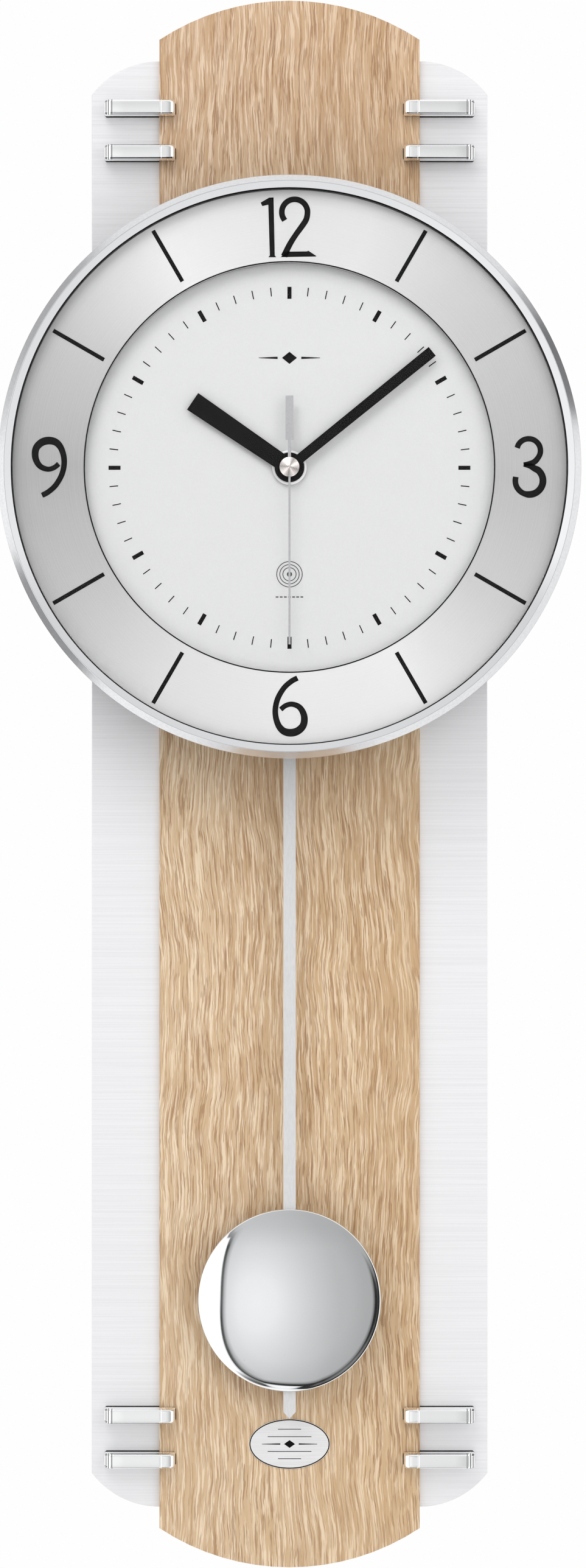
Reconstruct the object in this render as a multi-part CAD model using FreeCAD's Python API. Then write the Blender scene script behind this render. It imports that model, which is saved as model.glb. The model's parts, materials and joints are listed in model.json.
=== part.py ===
import FreeCAD, Part
import math
import os

# Pendulum wall clock: a round radio-controlled dial in front of a tall arched oak panel
# flanked by two brushed aluminium strips, with a long pendulum swinging between them.
# Millimetres. +Z up, +X to the right as seen from the front, and the front faces -Y.
# The wall is the plane y = 0. "Depth" below means the distance in front of that wall,
# so a depth d lies at y = -d. The origin is the keyhole that the wall screw enters.

# ---- overall sizes -------------------------------------------------------------------
clock_height = 680.0
wood_width = 113.0
wood_arch_rise = 17.0
side_panel_end_gap = 25.75          # aluminium's end short of the wood's end
side_panel_half_width = 86.0        # centre line to the outer edge of an aluminium strip
side_corner_drop = 14.7             # outer corner below the strip's top
hanger_below_top = 65.0             # keyhole below the top of the wood panel
dial_below_top = 206.0              # dial centre below the top of the wood panel

# ---- thicknesses of the back, from the wall forward ----------------------------------
batten_thickness = 12.0
board_thickness = 9.5
aluminium_thickness = 2.0
wood_thickness = 5.5
wood_overlap = 7.0                  # how far the wood's edge covers the aluminium
rebate_clearance = 0.1
board_inset = 10.0                  # board edge inside the aluminium's outer edge
board_end_inset = 8.0
board_corner = 8.0

# ---- keyhole hanger, battens and wall pads -------------------------------------------
hanger_thickness = 1.5
hanger_width = 26.0
hanger_low = -20.0
hanger_high = 26.0
hanger_corner = 4.0
keyhole_radius = 5.0
keyslot_radius = 2.3
keyslot_rise = 13.0
screw_head_pocket_depth = 9.0
screw_head_pocket_radius = 7.0
batten_width = 90.0
batten_height = 58.0
batten_end_gap = 1.0                # batten's end inside the board's end
pad_radius = 8.0
pad_thickness = 2.0
pad_spread = 34.0
pad_edge_gap = 4.0                  # pad to the batten's lower edge

# ---- fasteners -----------------------------------------------------------------------
wood_screw_shank = 1.75
wood_screw_head = 3.4
hanger_screw_shank = 1.4
hanger_screw_head = 2.7
hanger_screw_length = 10.0
hanger_screw_spread = 8.5
hanger_screw_inset = 6.0            # from the hanger's top and foot
tip_length = 2.5
tip_radius = 0.4
panel_screw_spread = 35.0
panel_screw_from_top = 108.0        # highest pair below the wood's top
panel_screw_from_foot = 120.0       # lowest pair above the wood's foot
panel_screw_cover = 1.5             # wood left in front of a screw's tip
batten_screw_spread = 35.0
bezel_screw_shank = 1.2
bezel_screw_head = 2.3
bezel_screw_length = 4.6            # shank only
bezel_screw_from_skirt = 5.0
case_screw_inset = 13.0             # from a standoff's end
case_screw_cover = 2.0              # board left behind a screw's tip
pan_head_radius = 3.4
pan_head_top_radius = 2.4
pan_head_height = 2.0

# ---- chrome clips that bridge the wood and the aluminium -------------------------------
clip_length = 31.0
clip_height = 7.6
clip_on_wood = 6.5
clip_rise = 8.0                     # above the wood
clip_end_bulge = 1.0
clip_side_bevel = 1.9
clip_pitch = 19.4
clip_row_inset = 31.95              # middle of a pair of clips inside the strip's end
clip_nose = 2.6                     # upright part of the end on the wood
clip_nose_lean = 1.2
clip_nose_length = 5.0
clip_shoulder = 2.4
clip_tail_length = 3.6
clip_tail_edge = 1.4
clip_tail_step = 1.2
clip_tail_drop = 5.0
clip_side_edge = 0.6
clip_side_step = 1.1
clip_stud_share = 0.6               # stud's place along the clip
clip_clearance = 0.2
stud_radius = 2.0
nut_radius = 4.0
nut_height = 3.0
nut_flange_width = 0.6
nut_flange_height = 0.8
stud_past_nut = 0.8

# ---- oval plate at the foot of the wood panel ------------------------------------------
oval_width = 35.0
oval_height = 21.6
oval_thickness = 0.6
oval_above_foot = 53.6

# ---- dial case -------------------------------------------------------------------------
standoff_height = 21.0              # case back above the wood
standoff_width = 14.0
standoff_edge_gap = 2.5             # standoff inside the wood's edge
standoff_half_length = 55.0
case_radius = 123.2
bezel_wall = 1.5
bezel_outer_facet = 2.8             # radial width of the two facets
bezel_inner_facet = 2.9
bezel_lip = 0.5                     # edge of the opening in front of the glass
bezel_sheet_gap = 0.3               # behind the peak
bezel_fold_drop = 0.2
bezel_peak_rise = 2.1               # peak above the glass
bezel_facet_drop = 4.0              # outer edge below the peak
bezel_skirt = 20.0
case_back_thickness = 2.0
case_wall = 2.0
case_ledge_width = 4.6
case_window_margin = 2.0            # window in the case back round the movement
case_window_corner = 5.0
case_wall_gap = 0.2                 # drum's front edge to the glass's rear
case_fit = 0.1
case_depth = 34.0                   # case back's rear to the glass's rear
glass_thickness = 2.0
glass_gap = 0.6                     # glass edge to the case wall
gasket_height = 3.0
gasket_reveal = 0.5                 # gasket seen inside the bezel's opening
dial_fit = 0.2                      # gap round the pieces inside the drum
numeral_ring_thickness = 1.0
numeral_ring_inner = 86.4
dial_recess = 5.4                   # numeral ring's face above the inner dial's face
spacer_wall = 2.0
spacer_web = 1.2
spacer_lip_gap = 0.2
inner_dial_thickness = 1.0
access_half_width = 34.0            # window behind the movement
access_low = -38.0
access_high = 38.0
access_corner = 3.0

# ---- movement: places are given from the dial's centre ---------------------------------
movement_half_width = 30.0
movement_low = -28.0
movement_high = 34.0
movement_wall = 1.5
movement_corner = 4.0
movement_thickness = 20.0
movement_split = 10.0               # rear cover's share of the thickness
rubber_washer_thickness = 1.0
rubber_washer_radius = 9.0
neck_radius = 5.0
neck_rise = 1.9                     # threaded neck above the inner dial
nut_face_radius = 7.35
fixing_nut_height = 2.1
hour_tube_radius = 3.1
minute_tube_radius = 2.4
second_arbor_radius = 0.7
arbor_radius = 0.5
rotor_arbor_radius = 0.4
running_clearance = 0.05
loose_clearance = 0.1
second_wheel_depth = 10.0           # in front of the movement's rear
minute_wheel_step = 3.5             # from one wheel's rear to the next one's
minute_pinion_step = 1.5
hour_wheel_step = 2.0
intermediate_step = 1.9
middle_plate_step = 1.8
hour_hand_clearance = 2.7           # above the inner dial
minute_hand_step = 1.6
second_hand_step = 1.5
module_fine = 0.3
module_minute_pinion = 0.5
module_hour = 0.48
pinion_teeth = 8
intermediate_teeth = 40
centre_teeth = 48
minute_pinion_teeth = 12
motion_wheel_teeth = 36
motion_pinion_teeth = 10
hour_wheel_teeth = 40
wheel_thickness = 0.8
centre_wheel_thickness = 1.0
pinion_overhang = 0.3
pinion_reach = 1.3
rotor_pinion_reach = 1.1
minute_pinion_length = 1.6
motion_pinion_reach = 0.9
arbor_rear_gap = 0.4
arbor_end_play = 0.2
motion_arbor_reach = 0.8
arbor_past_hand = 0.4
rotor_magnet_radius = 2.2
rotor_magnet_rear = 4.2             # behind its pinion
rotor_magnet_front = 1.0
rotor_hole_radius = 2.7
battery_radius = 7.25
battery_length = 50.5
battery_cap_radius = 2.7
battery_cap_length = 1.5
battery_axis_depth = 9.5            # in front of the movement's rear
battery_roof_gap = 1.2
battery_bay_end = 2.0
battery_bay_lip = 0.4
contact_thickness = 0.5
contact_half = 5.0
contact_stud_radius = 2.2
contact_spring_tip = 2.0
contact_spring_base = 4.0
button_radius = 1.4
button_flange_radius = 2.1
button_spacing = 6.0
button_side_inset = 4.5
button_low_inset = 6.0
button_flange_height = 0.8
button_flange_gap = 0.1
button_travel = 0.8
button_proud = 1.3
button_end_gap = 0.2                # left between a pressed stem and its switch
circuit_board_thickness = 1.0
circuit_board_gap = 1.5             # board in front of the housing's floor
switch_height = 1.3
switch_half = 2.4
circuit_left = 16.5
circuit_right = 26.5
circuit_low = -24.0
circuit_high = 10.0
chip_left = 18.0
chip_width = 7.0
chip_low = -8.0
crystal_radius = 1.0
crystal_length = 6.0
crystal_x = 21.0
crystal_low = 1.0
ferrite_radius = 3.5
ferrite_length = 36.0
ferrite_left = -25.0
ferrite_depth = 8.0                 # in front of the movement's rear
ferrite_rise = 6.8                  # above the movement's foot
winding_build = 1.3
winding_length = 18.0
winding_left = -16.0
cradle_places = (-22.0, 6.0)
cradle_width = 2.0
stator_gap = 5.1                    # stator in front of the movement's rear
stator_sheet = 0.8
stator_inner = 9.6
stator_leg_outer = 14.4
stator_low = -15.0
stator_yoke_high = -11.0
stator_pole_low = 2.6
stator_high = 9.9
stator_overhang = 2.5               # past the coil core's middle
core_inset = 10.0                   # coil core inside the movement's side
core_half = 1.2
core_thickness = 1.0
coil_radius = 3.0
coil_length = 11.4
coil_low = -10.2
coil_axis_gap = 0.5
stator_post_radius = 1.2
stator_post_places = ((12.0, -13.0), (16.5, 8.0))
plate_post_radius = 1.3
plate_post_x = 14.0
plate_post_heights = (-11.5, 11.2)
board_post_x = 25.0
board_post_heights = (-22.0, 8.0)
middle_plate_half_width = 16.0
middle_plate_low = -13.8
middle_plate_high = 13.0
middle_plate_thickness = 1.0
boss_wall = 1.0
boss_height = 1.8
rib_root = 0.5                      # sunk into the cover it grows from

# ---- hands -------------------------------------------------------------------------------
shown_hour = 10
shown_minute = 8
shown_second = 30
hour_hand_length = 49.6
hour_hand_root = 6.8
hour_hand_tip = 8.5
hour_boss_radius = 6.3
minute_hand_length = 77.7
minute_hand_root = 4.1
minute_hand_tip = 4.8
minute_boss_radius = 4.4
second_hand_length = 75.0
second_hand_width = 0.9
second_tail_width = 3.3
second_tail_start = 11.4
second_tail_end = 30.1
second_neck_width = 1.3
second_boss_radius = 2.6
hand_thickness = 0.5
hand_boss_rear = 0.1
hand_boss_front = 0.2
second_hand_sheet = 0.3
second_boss_rear = 0.3
cap_tip_radius = 0.9
arbor_in_cap = 0.6
cap_radius = 4.2
cap_height = 1.8

# ---- pendulum ------------------------------------------------------------------------------
pivot_above_dial = 6.0
pivot_pin_radius = 1.0
pendulum_clearance = 11.0           # rear of the bob's strap in front of the wood
rod_width = 5.4
rod_thickness = 1.2
strap_web = 1.4                     # strap behind the rod
lever_gap = 1.2                     # rod to lever
rod_hook_below_dial = 38.0
bob_radius = 39.3
bob_above_foot = 117.6
bob_rim = 2.2
bob_dome = 7.0
bob_sheet = 0.8
tail_below_bob = 12.0
tail_point = 3.0
lever_width = 7.0
lever_thickness = 2.0
magnet_radius = 4.0
magnet_height = 2.8
drive_coil_radius = 5.5
drive_coil_inner = 2.0
drive_coil_height = 2.9
rod_above_hook = 4.0
peg_radius = 1.2
peg_head_radius = 2.0
peg_head_height = 0.9
peg_shoulder_radius = 2.4
lever_below_hook = 6.0
lever_above_pivot = 3.0
lever_corner = 2.5
hub_radius = 3.2
hub_rise = 3.0                      # hub behind the lever
hub_front_gap = 4.5                 # hub short of the movement
bracket_half_width = 12.0
bracket_half_height = 4.0
bracket_sheet = 1.5
bracket_gap = 3.0                   # bracket's web behind the hub
pin_past_bracket = 0.5
pin_end_gap = 0.3
strap_half_width = 9.0
strap_half_height = 6.0
magnet_below_dial = 22.0

# ---- places worked out from the sizes above --------------------------------------------
board_back = batten_thickness
board_front = board_back + board_thickness
aluminium_front = board_front + aluminium_thickness
wood_front = board_front + wood_thickness
wood_top = hanger_below_top
wood_foot = wood_top - clock_height
dial = wood_top - dial_below_top
wood_half_width = wood_width / 2
side_panel_top = wood_top - side_panel_end_gap
side_panel_low = wood_foot + side_panel_end_gap
board_half_width = side_panel_half_width - board_inset
board_top = side_panel_top - board_end_inset
board_low = side_panel_low + board_end_inset
aluminium_inner = wood_half_width - wood_overlap
standoff_outer = wood_half_width - standoff_edge_gap
standoff_inner = standoff_outer - standoff_width
stud_rear = board_back - nut_height - stud_past_nut

case_rear = wood_front + standoff_height
glass_rear = case_rear + case_depth
glass_front = glass_rear + glass_thickness
bezel_peak = glass_front + bezel_peak_rise
ring_face = glass_rear - gasket_height
dial_face = ring_face - dial_recess
dial_rear = dial_face - inner_dial_thickness
drum_radius = case_radius - bezel_wall - case_fit
drum_inner = drum_radius - case_wall
bezel_peak_radius = case_radius - bezel_outer_facet
bezel_opening_radius = bezel_peak_radius - bezel_inner_facet
bezel_fold = bezel_peak - bezel_facet_drop
skirt_rear = bezel_fold - bezel_skirt
fitted_radius = drum_inner - dial_fit
movement_front = dial_rear - rubber_washer_thickness
movement_rear = movement_front - movement_thickness
movement_seam = movement_rear + movement_split
cover_inner = movement_rear + movement_wall
housing_inner = movement_front - movement_wall
stator_rear = movement_rear + stator_gap
board_rest = housing_inner - circuit_board_gap
button_front = (board_rest - circuit_board_thickness - switch_height - button_end_gap
                - button_travel)

second_wheel_rear = movement_rear + second_wheel_depth
minute_wheel_rear = second_wheel_rear + minute_wheel_step
minute_pinion_rear = minute_wheel_rear + minute_pinion_step
hour_wheel_rear = minute_pinion_rear + hour_wheel_step
intermediate_rear = second_wheel_rear - intermediate_step
middle_plate_rear = second_wheel_rear + middle_plate_step
middle_plate_front = middle_plate_rear + middle_plate_thickness
hour_hand_rear = dial_face + hour_hand_clearance
minute_hand_rear = hour_hand_rear + minute_hand_step
second_hand_rear = minute_hand_rear + second_hand_step
arbor_front = second_hand_rear + second_hand_sheet + arbor_in_cap

fine_centres = module_fine * (centre_teeth + pinion_teeth) / 2
rotor_centres = module_fine * (intermediate_teeth + pinion_teeth) / 2
motion_centres = module_minute_pinion * (minute_pinion_teeth + motion_wheel_teeth) / 2
rotor_angle = 60.0                  # from an intermediate wheel to its rotor
rotor_side = fine_centres + rotor_centres * math.cos(math.radians(rotor_angle))
rotor_high = rotor_centres * math.sin(math.radians(rotor_angle))

strap_rear = wood_front + pendulum_clearance
rod_rear = strap_rear + strap_web
rod_front = rod_rear + rod_thickness
lever_rear = rod_front + lever_gap
pivot = dial + pivot_above_dial
bob = wood_foot + bob_above_foot
bob_front = rod_front + bob_rim + bob_dome
minute_angle = 6.0 * (shown_minute + shown_second / 60)
hour_angle = 30.0 * (shown_hour + (shown_minute + shown_second / 60) / 60)
second_angle = 6.0 * shown_second

V = FreeCAD.Vector
FORWARD = V(0, -1, 0)
parts = {}


# ---- building blocks -----------------------------------------------------------------------
def bar(radius, back, front, x=0.0, z=0.0):
    """Round bar lying along the depth."""
    return Part.makeCylinder(radius, front - back, V(x, -back, z), FORWARD)


def ring(outer, inner, back, front, x=0.0, z=0.0):
    return bar(outer, back, front, x, z).cut(bar(inner, back - 1, front + 1, x, z))


def taper(back_radius, front_radius, back, front, x=0.0, z=0.0):
    return Part.makeCone(back_radius, front_radius, front - back, V(x, -back, z), FORWARD)


def block(left, right, low, high, back, front):
    return Part.makeBox(right - left, front - back, high - low, V(left, -front, low))


def rounded_block(left, right, low, high, back, front, radius):
    body = block(left, right, low, high, back, front)
    edges = [e for e in body.Edges if abs(e.tangentAt(e.FirstParameter).y) > 0.9]
    return body.makeFillet(radius, edges)


def line(a, b):
    return Part.LineSegment(V(a[0], 0, a[1]), V(b[0], 0, b[1])).toShape()


def arc(a, m, b):
    return Part.Arc(V(a[0], 0, a[1]), V(m[0], 0, m[1]), V(b[0], 0, b[1])).toShape()


def plate(edges, back, front):
    """Flat piece from a closed outline in X and Z."""
    face = Part.Face(Part.Wire(edges))
    face.translate(V(0, -back, 0))
    return face.extrude(V(0, back - front, 0))


def polygon_plate(points, back, front):
    corners = [V(x, -back, z) for x, z in points]
    face = Part.Face(Part.makePolygon(corners + corners[:1]))
    return face.extrude(V(0, back - front, 0))


def turned(points, x=0.0, z=0.0):
    """Turned piece from (radius, depth) corners, about the depth line through x, z."""
    corners = [V(x + radius, -depth, z) for radius, depth in points]
    face = Part.Face(Part.makePolygon(corners + corners[:1]))
    return face.revolve(V(x, 0, z), V(0, 1, 0), 360)


def clockwise(shape, degrees, x=0.0, z=0.0):
    """Turn a shape clockwise, as seen from the front."""
    turned_shape = shape.copy()
    turned_shape.rotate(V(x, 0, z), V(0, 1, 0), degrees)
    return turned_shape


def countersunk_screw(x, z, head_face, tip, shank, head):
    """Screw whose flush head is towards the wall and whose tip points forward."""
    head_end = head_face + head - shank
    body = taper(head, shank, head_face, head_end, x, z)
    body = body.fuse(bar(shank, head_end, tip - tip_length, x, z))
    point = taper(shank, tip_radius, tip - tip_length, tip, x, z)
    return body.fuse(point).removeSplitter()


def gear(module, teeth, back, front, x, z, tooth_angle, slim=0.0):
    """Spur gear with a tooth at tooth_angle, counted from +X towards +Z."""
    pitch_radius = module * teeth / 2
    step = 2 * math.pi / teeth
    profile = (
        (pitch_radius - 1.2 * module, -0.24 + slim),
        (pitch_radius, -0.19 + slim),
        (pitch_radius + 0.7 * module, -0.10),
        (pitch_radius + 0.7 * module, 0.10),
        (pitch_radius, 0.19 - slim),
        (pitch_radius - 1.2 * module, 0.24 - slim),
    )
    points = []
    for tooth in range(teeth):
        centre = math.radians(tooth_angle) + tooth * step
        for radius, share in profile:
            angle = centre + share * step
            points.append((x + radius * math.cos(angle), z + radius * math.sin(angle)))
    return polygon_plate(points, back, front)


def joined(*shapes):
    body = shapes[0]
    for shape in shapes[1:]:
        body = body.fuse(shape)
    return body.removeSplitter()


def without(shape, *cutters):
    for cutter in cutters:
        shape = shape.cut(cutter)
    return shape


def group(*shapes):
    return Part.makeCompound(list(shapes))


def keep(name, shape):
    parts[name] = shape


# ---- back: board, battens, hanger and pads ---------------------------------------------------
def access_window(back, front):
    """Window through which the battery and the setting buttons are reached."""
    return rounded_block(-access_half_width, access_half_width, dial + access_low,
                         dial + access_high, back, front, access_corner)


def batten_screws():
    screws = []
    for side in (-1, 1):
        x = side * batten_screw_spread
        tip = board_front - panel_screw_cover
        upper = countersunk_screw(x, board_top - batten_end_gap - batten_height / 2, 0,
                                  tip, wood_screw_shank, wood_screw_head)
        lower = countersunk_screw(x, board_low + batten_end_gap + batten_height / 2,
                                  pad_thickness, tip, wood_screw_shank, wood_screw_head)
        screws += [upper, lower]
    return screws


def panel_screws():
    highest = wood_top - panel_screw_from_top
    lowest = wood_foot + panel_screw_from_foot
    between = (dial + access_low + lowest) / 2
    screws = []
    for z in (highest, between, lowest):
        for side in (-1, 1):
            screws.append(countersunk_screw(side * panel_screw_spread, z, board_back,
                                            wood_front - panel_screw_cover,
                                            wood_screw_shank, wood_screw_head))
    return screws


def case_screws():
    """Pan-head screws from inside the dial case, through the standoffs into the board."""
    inner_face = case_rear + case_back_thickness
    tip = board_back + case_screw_cover
    screws = []
    for x_side in (-1, 1):
        for z_side in (-1, 1):
            x = x_side * (standoff_inner + standoff_width / 2)
            z = dial + z_side * (standoff_half_length - case_screw_inset)
            head = taper(pan_head_radius, pan_head_top_radius, inner_face,
                         inner_face + pan_head_height, x, z)
            shank = bar(wood_screw_shank, tip + tip_length, inner_face, x, z)
            point = taper(tip_radius, wood_screw_shank, tip, tip + tip_length, x, z)
            screws.append(joined(head, shank, point))
    return screws


def hanger_screws():
    screws = []
    for x in (-hanger_screw_spread, hanger_screw_spread):
        for z in (hanger_low + hanger_screw_inset, hanger_high - hanger_screw_inset):
            screws.append(countersunk_screw(x, z, 0, hanger_screw_length,
                                            hanger_screw_shank, hanger_screw_head))
    return screws


def keyhole(back, front, entry, slot):
    """Round entry with a narrower slot rising from it."""
    opening = bar(entry, back, front)
    opening = opening.fuse(block(-slot, slot, 0, keyslot_rise, back, front))
    return opening.fuse(bar(slot, back, front, 0, keyslot_rise))


def clip_places():
    """Centre height and side of each clip, by node."""
    rows = {"upper_clips": side_panel_top - clip_row_inset,
            "lower_clips": side_panel_low + clip_row_inset}
    places = {}
    for name, row in rows.items():
        places[name] = [(side, row + step * clip_pitch / 2)
                        for side in (-1, 1) for step in (-1, 1)]
    return places


def clip_stud_x(side):
    inner = wood_half_width - clip_on_wood
    return side * (inner + clip_length * clip_stud_share)


def clip_studs():
    studs = []
    for places in clip_places().values():
        for side, z in places:
            studs.append(bar(stud_radius, stud_rear, aluminium_front, clip_stud_x(side), z))
    return studs


def build_back():
    half_batten = batten_width / 2
    upper_top = board_top - batten_end_gap
    lower_low = board_low + batten_end_gap
    pad_height = lower_low + pad_radius + pad_edge_gap

    board = rounded_block(-board_half_width, board_half_width, board_low, board_top,
                          board_back, board_front, board_corner)
    board = without(board, access_window(board_back - 1, board_front + 1),
                    *panel_screws(), *batten_screws(), *case_screws(), *clip_studs())
    keep("carrier_board", board)

    hanger = rounded_block(-hanger_width / 2, hanger_width / 2, hanger_low, hanger_high,
                           0, hanger_thickness, hanger_corner)
    pocket = joined(hanger, bar(screw_head_pocket_radius, hanger_thickness - 0.5,
                                screw_head_pocket_depth),
                    block(-screw_head_pocket_radius, screw_head_pocket_radius, 0,
                          keyslot_rise, hanger_thickness - 0.5, screw_head_pocket_depth),
                    bar(screw_head_pocket_radius, hanger_thickness - 0.5,
                        screw_head_pocket_depth, 0, keyslot_rise))
    upper = block(-half_batten, half_batten, upper_top - batten_height, upper_top,
                  0, batten_thickness)
    keep("upper_batten", without(upper, pocket, *hanger_screws(), *batten_screws()))
    lower = block(-half_batten, half_batten, lower_low, lower_low + batten_height,
                  pad_thickness, batten_thickness)
    keep("lower_batten", without(lower, *batten_screws()))
    keep("keyhole_hanger", without(hanger, keyhole(-1, hanger_thickness + 1, keyhole_radius,
                                                   keyslot_radius), *hanger_screws()))
    keep("hanger_screws", group(*hanger_screws()))
    keep("wall_pads", group(*[bar(pad_radius, 0, pad_thickness, side * pad_spread,
                                  pad_height) for side in (-1, 1)]))
    keep("batten_screws", group(*batten_screws()))
    keep("panel_screws", group(*panel_screws()))


# ---- front panels ------------------------------------------------------------------------------
def arched_outline(half_width, top, low, rise):
    """Upright board whose two ends are shallow arcs."""
    return [
        line((-half_width, low + rise), (-half_width, top - rise)),
        arc((-half_width, top - rise), (0, top), (half_width, top - rise)),
        line((half_width, top - rise), (half_width, low + rise)),
        arc((half_width, low + rise), (0, low), (-half_width, low + rise)),
    ]


def side_outline(side):
    """Strip with its two outer corners rounded from the wood's edge outward."""
    start = wood_half_width
    reach = side_panel_half_width - start
    drop = side_corner_drop
    radius = (reach ** 2 + drop ** 2) / (2 * drop)
    half_reach = reach * 0.55
    half_drop = radius - math.sqrt(radius ** 2 - half_reach ** 2)
    inner = side * aluminium_inner
    outer = side * side_panel_half_width
    top = side_panel_top
    low = side_panel_low
    return [
        line((inner, low), (inner, top)),
        line((inner, top), (side * start, top)),
        arc((side * start, top), (side * (start + half_reach), top - half_drop),
            (outer, top - drop)),
        line((outer, top - drop), (outer, low + drop)),
        arc((outer, low + drop), (side * (start + half_reach), low + half_drop),
            (side * start, low)),
        line((side * start, low), (inner, low)),
    ]


def build_panels():
    wood = plate(arched_outline(wood_half_width, wood_top, wood_foot, wood_arch_rise),
                 board_front, wood_front)
    rebate_front = aluminium_front + rebate_clearance
    rebates = []
    for side in (-1, 1):
        edge = sorted((side * (aluminium_inner - rebate_clearance), side * wood_width))
        rebates.append(block(edge[0], edge[1], side_panel_low - rebate_clearance,
                             side_panel_top + rebate_clearance, board_front - 1,
                             rebate_front))
    wood = without(wood, access_window(board_front - 1, wood_front + 1), *rebates,
                   *panel_screws(), *case_screws())
    keep("wood_front_panel", wood)
    for side, name in ((-1, "side_panel_left"), (1, "side_panel_right")):
        strip = plate(side_outline(side), board_front, aluminium_front)
        keep(name, without(strip, *clip_studs()))

    oval = Part.Ellipse(V(0, 0, 0), oval_width / 2, oval_height / 2).toShape()
    oval.rotate(V(0, 0, 0), V(1, 0, 0), 90)
    label = Part.Face(Part.Wire([oval])).extrude(V(0, -oval_thickness, 0))
    label.translate(V(0, -wood_front, wood_foot + oval_above_foot))
    keep("oval_plate", label)


def clip(side, z):
    """Bevelled chrome bar that steps down from the wood to the aluminium."""
    inner = wood_half_width - clip_on_wood
    outer = inner + clip_length
    step = wood_half_width + clip_clearance
    top = wood_front + clip_rise
    half = clip_height / 2
    lengthwise = [(inner, wood_front), (inner, wood_front + clip_nose),
                  (inner + clip_nose_lean, top - clip_shoulder),
                  (inner + clip_nose_length, top), (outer - clip_tail_length, top),
                  (outer - clip_tail_edge, top - clip_tail_step),
                  (outer, top - clip_tail_drop), (outer, aluminium_front),
                  (step, aluminium_front), (step, wood_front)]
    corners = [V(x, -depth, z - half) for x, depth in lengthwise]
    body = Part.Face(Part.makePolygon(corners + corners[:1])).extrude(V(0, 0, clip_height))
    crosswise = [(-half, aluminium_front - 1), (-half, top - clip_shoulder),
                 (-half + clip_side_edge, top - clip_side_step),
                 (-half + clip_side_bevel, top), (half - clip_side_bevel, top),
                 (half - clip_side_edge, top - clip_side_step),
                 (half, top - clip_shoulder), (half, aluminium_front - 1)]
    corners = [V(inner - 1, -depth, z + height) for height, depth in crosswise]
    tunnel = Part.Face(Part.makePolygon(corners + corners[:1]))
    body = body.common(tunnel.extrude(V(clip_length + 2, 0, 0)))
    end_radius = (half ** 2 + clip_end_bulge ** 2) / (2 * clip_end_bulge)
    rounding = bar(end_radius, aluminium_front - 1, top + 1, outer - end_radius, z)
    keeper = rounding.fuse(block(inner - 1, outer - end_radius, z - half - 1, z + half + 1,
                                 aluminium_front - 1, top + 1))
    body = body.common(keeper)
    body = joined(body, bar(stud_radius, stud_rear, aluminium_front, clip_stud_x(1), z))
    if side < 0:
        body = body.mirror(V(0, 0, 0), V(1, 0, 0))
    return body


def clip_nut(x, z):
    """Hexagonal nut with a washer face, behind the board."""
    corners = [(x + nut_radius * math.cos(math.radians(60 * k)),
                z + nut_radius * math.sin(math.radians(60 * k))) for k in range(6)]
    flange_rear = board_back - nut_flange_height
    flange = bar(nut_radius + nut_flange_width, flange_rear, board_back, x, z)
    nut = joined(polygon_plate(corners, board_back - nut_height, flange_rear), flange)
    return nut.cut(bar(stud_radius, board_back - nut_height - 1, board_back + 1, x, z))


def build_clips():
    nuts = []
    for name, places in clip_places().items():
        keep(name, group(*[clip(side, z) for side, z in places]))
        nuts += [clip_nut(clip_stud_x(side), z) for side, z in places]
    keep("clip_nuts", group(*nuts))


# ---- dial case -----------------------------------------------------------------------------------
def bezel_screws():
    """Four flush screws that hold the bezel's skirt on the drum, at the diagonals."""
    depth = skirt_rear + bezel_screw_from_skirt
    head_end = bezel_screw_head - bezel_screw_shank
    screws = []
    for quarter in range(4):
        angle = 45.0 + 90.0 * quarter
        start = V(0, -depth, dial + case_radius)
        head = Part.makeCone(bezel_screw_head, bezel_screw_shank, head_end, start,
                             V(0, 0, -1))
        shank = Part.makeCylinder(bezel_screw_shank, bezel_screw_length,
                                  start + V(0, 0, -head_end), V(0, 0, -1))
        screws.append(clockwise(joined(head, shank), angle, 0, dial))
    return screws


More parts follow.
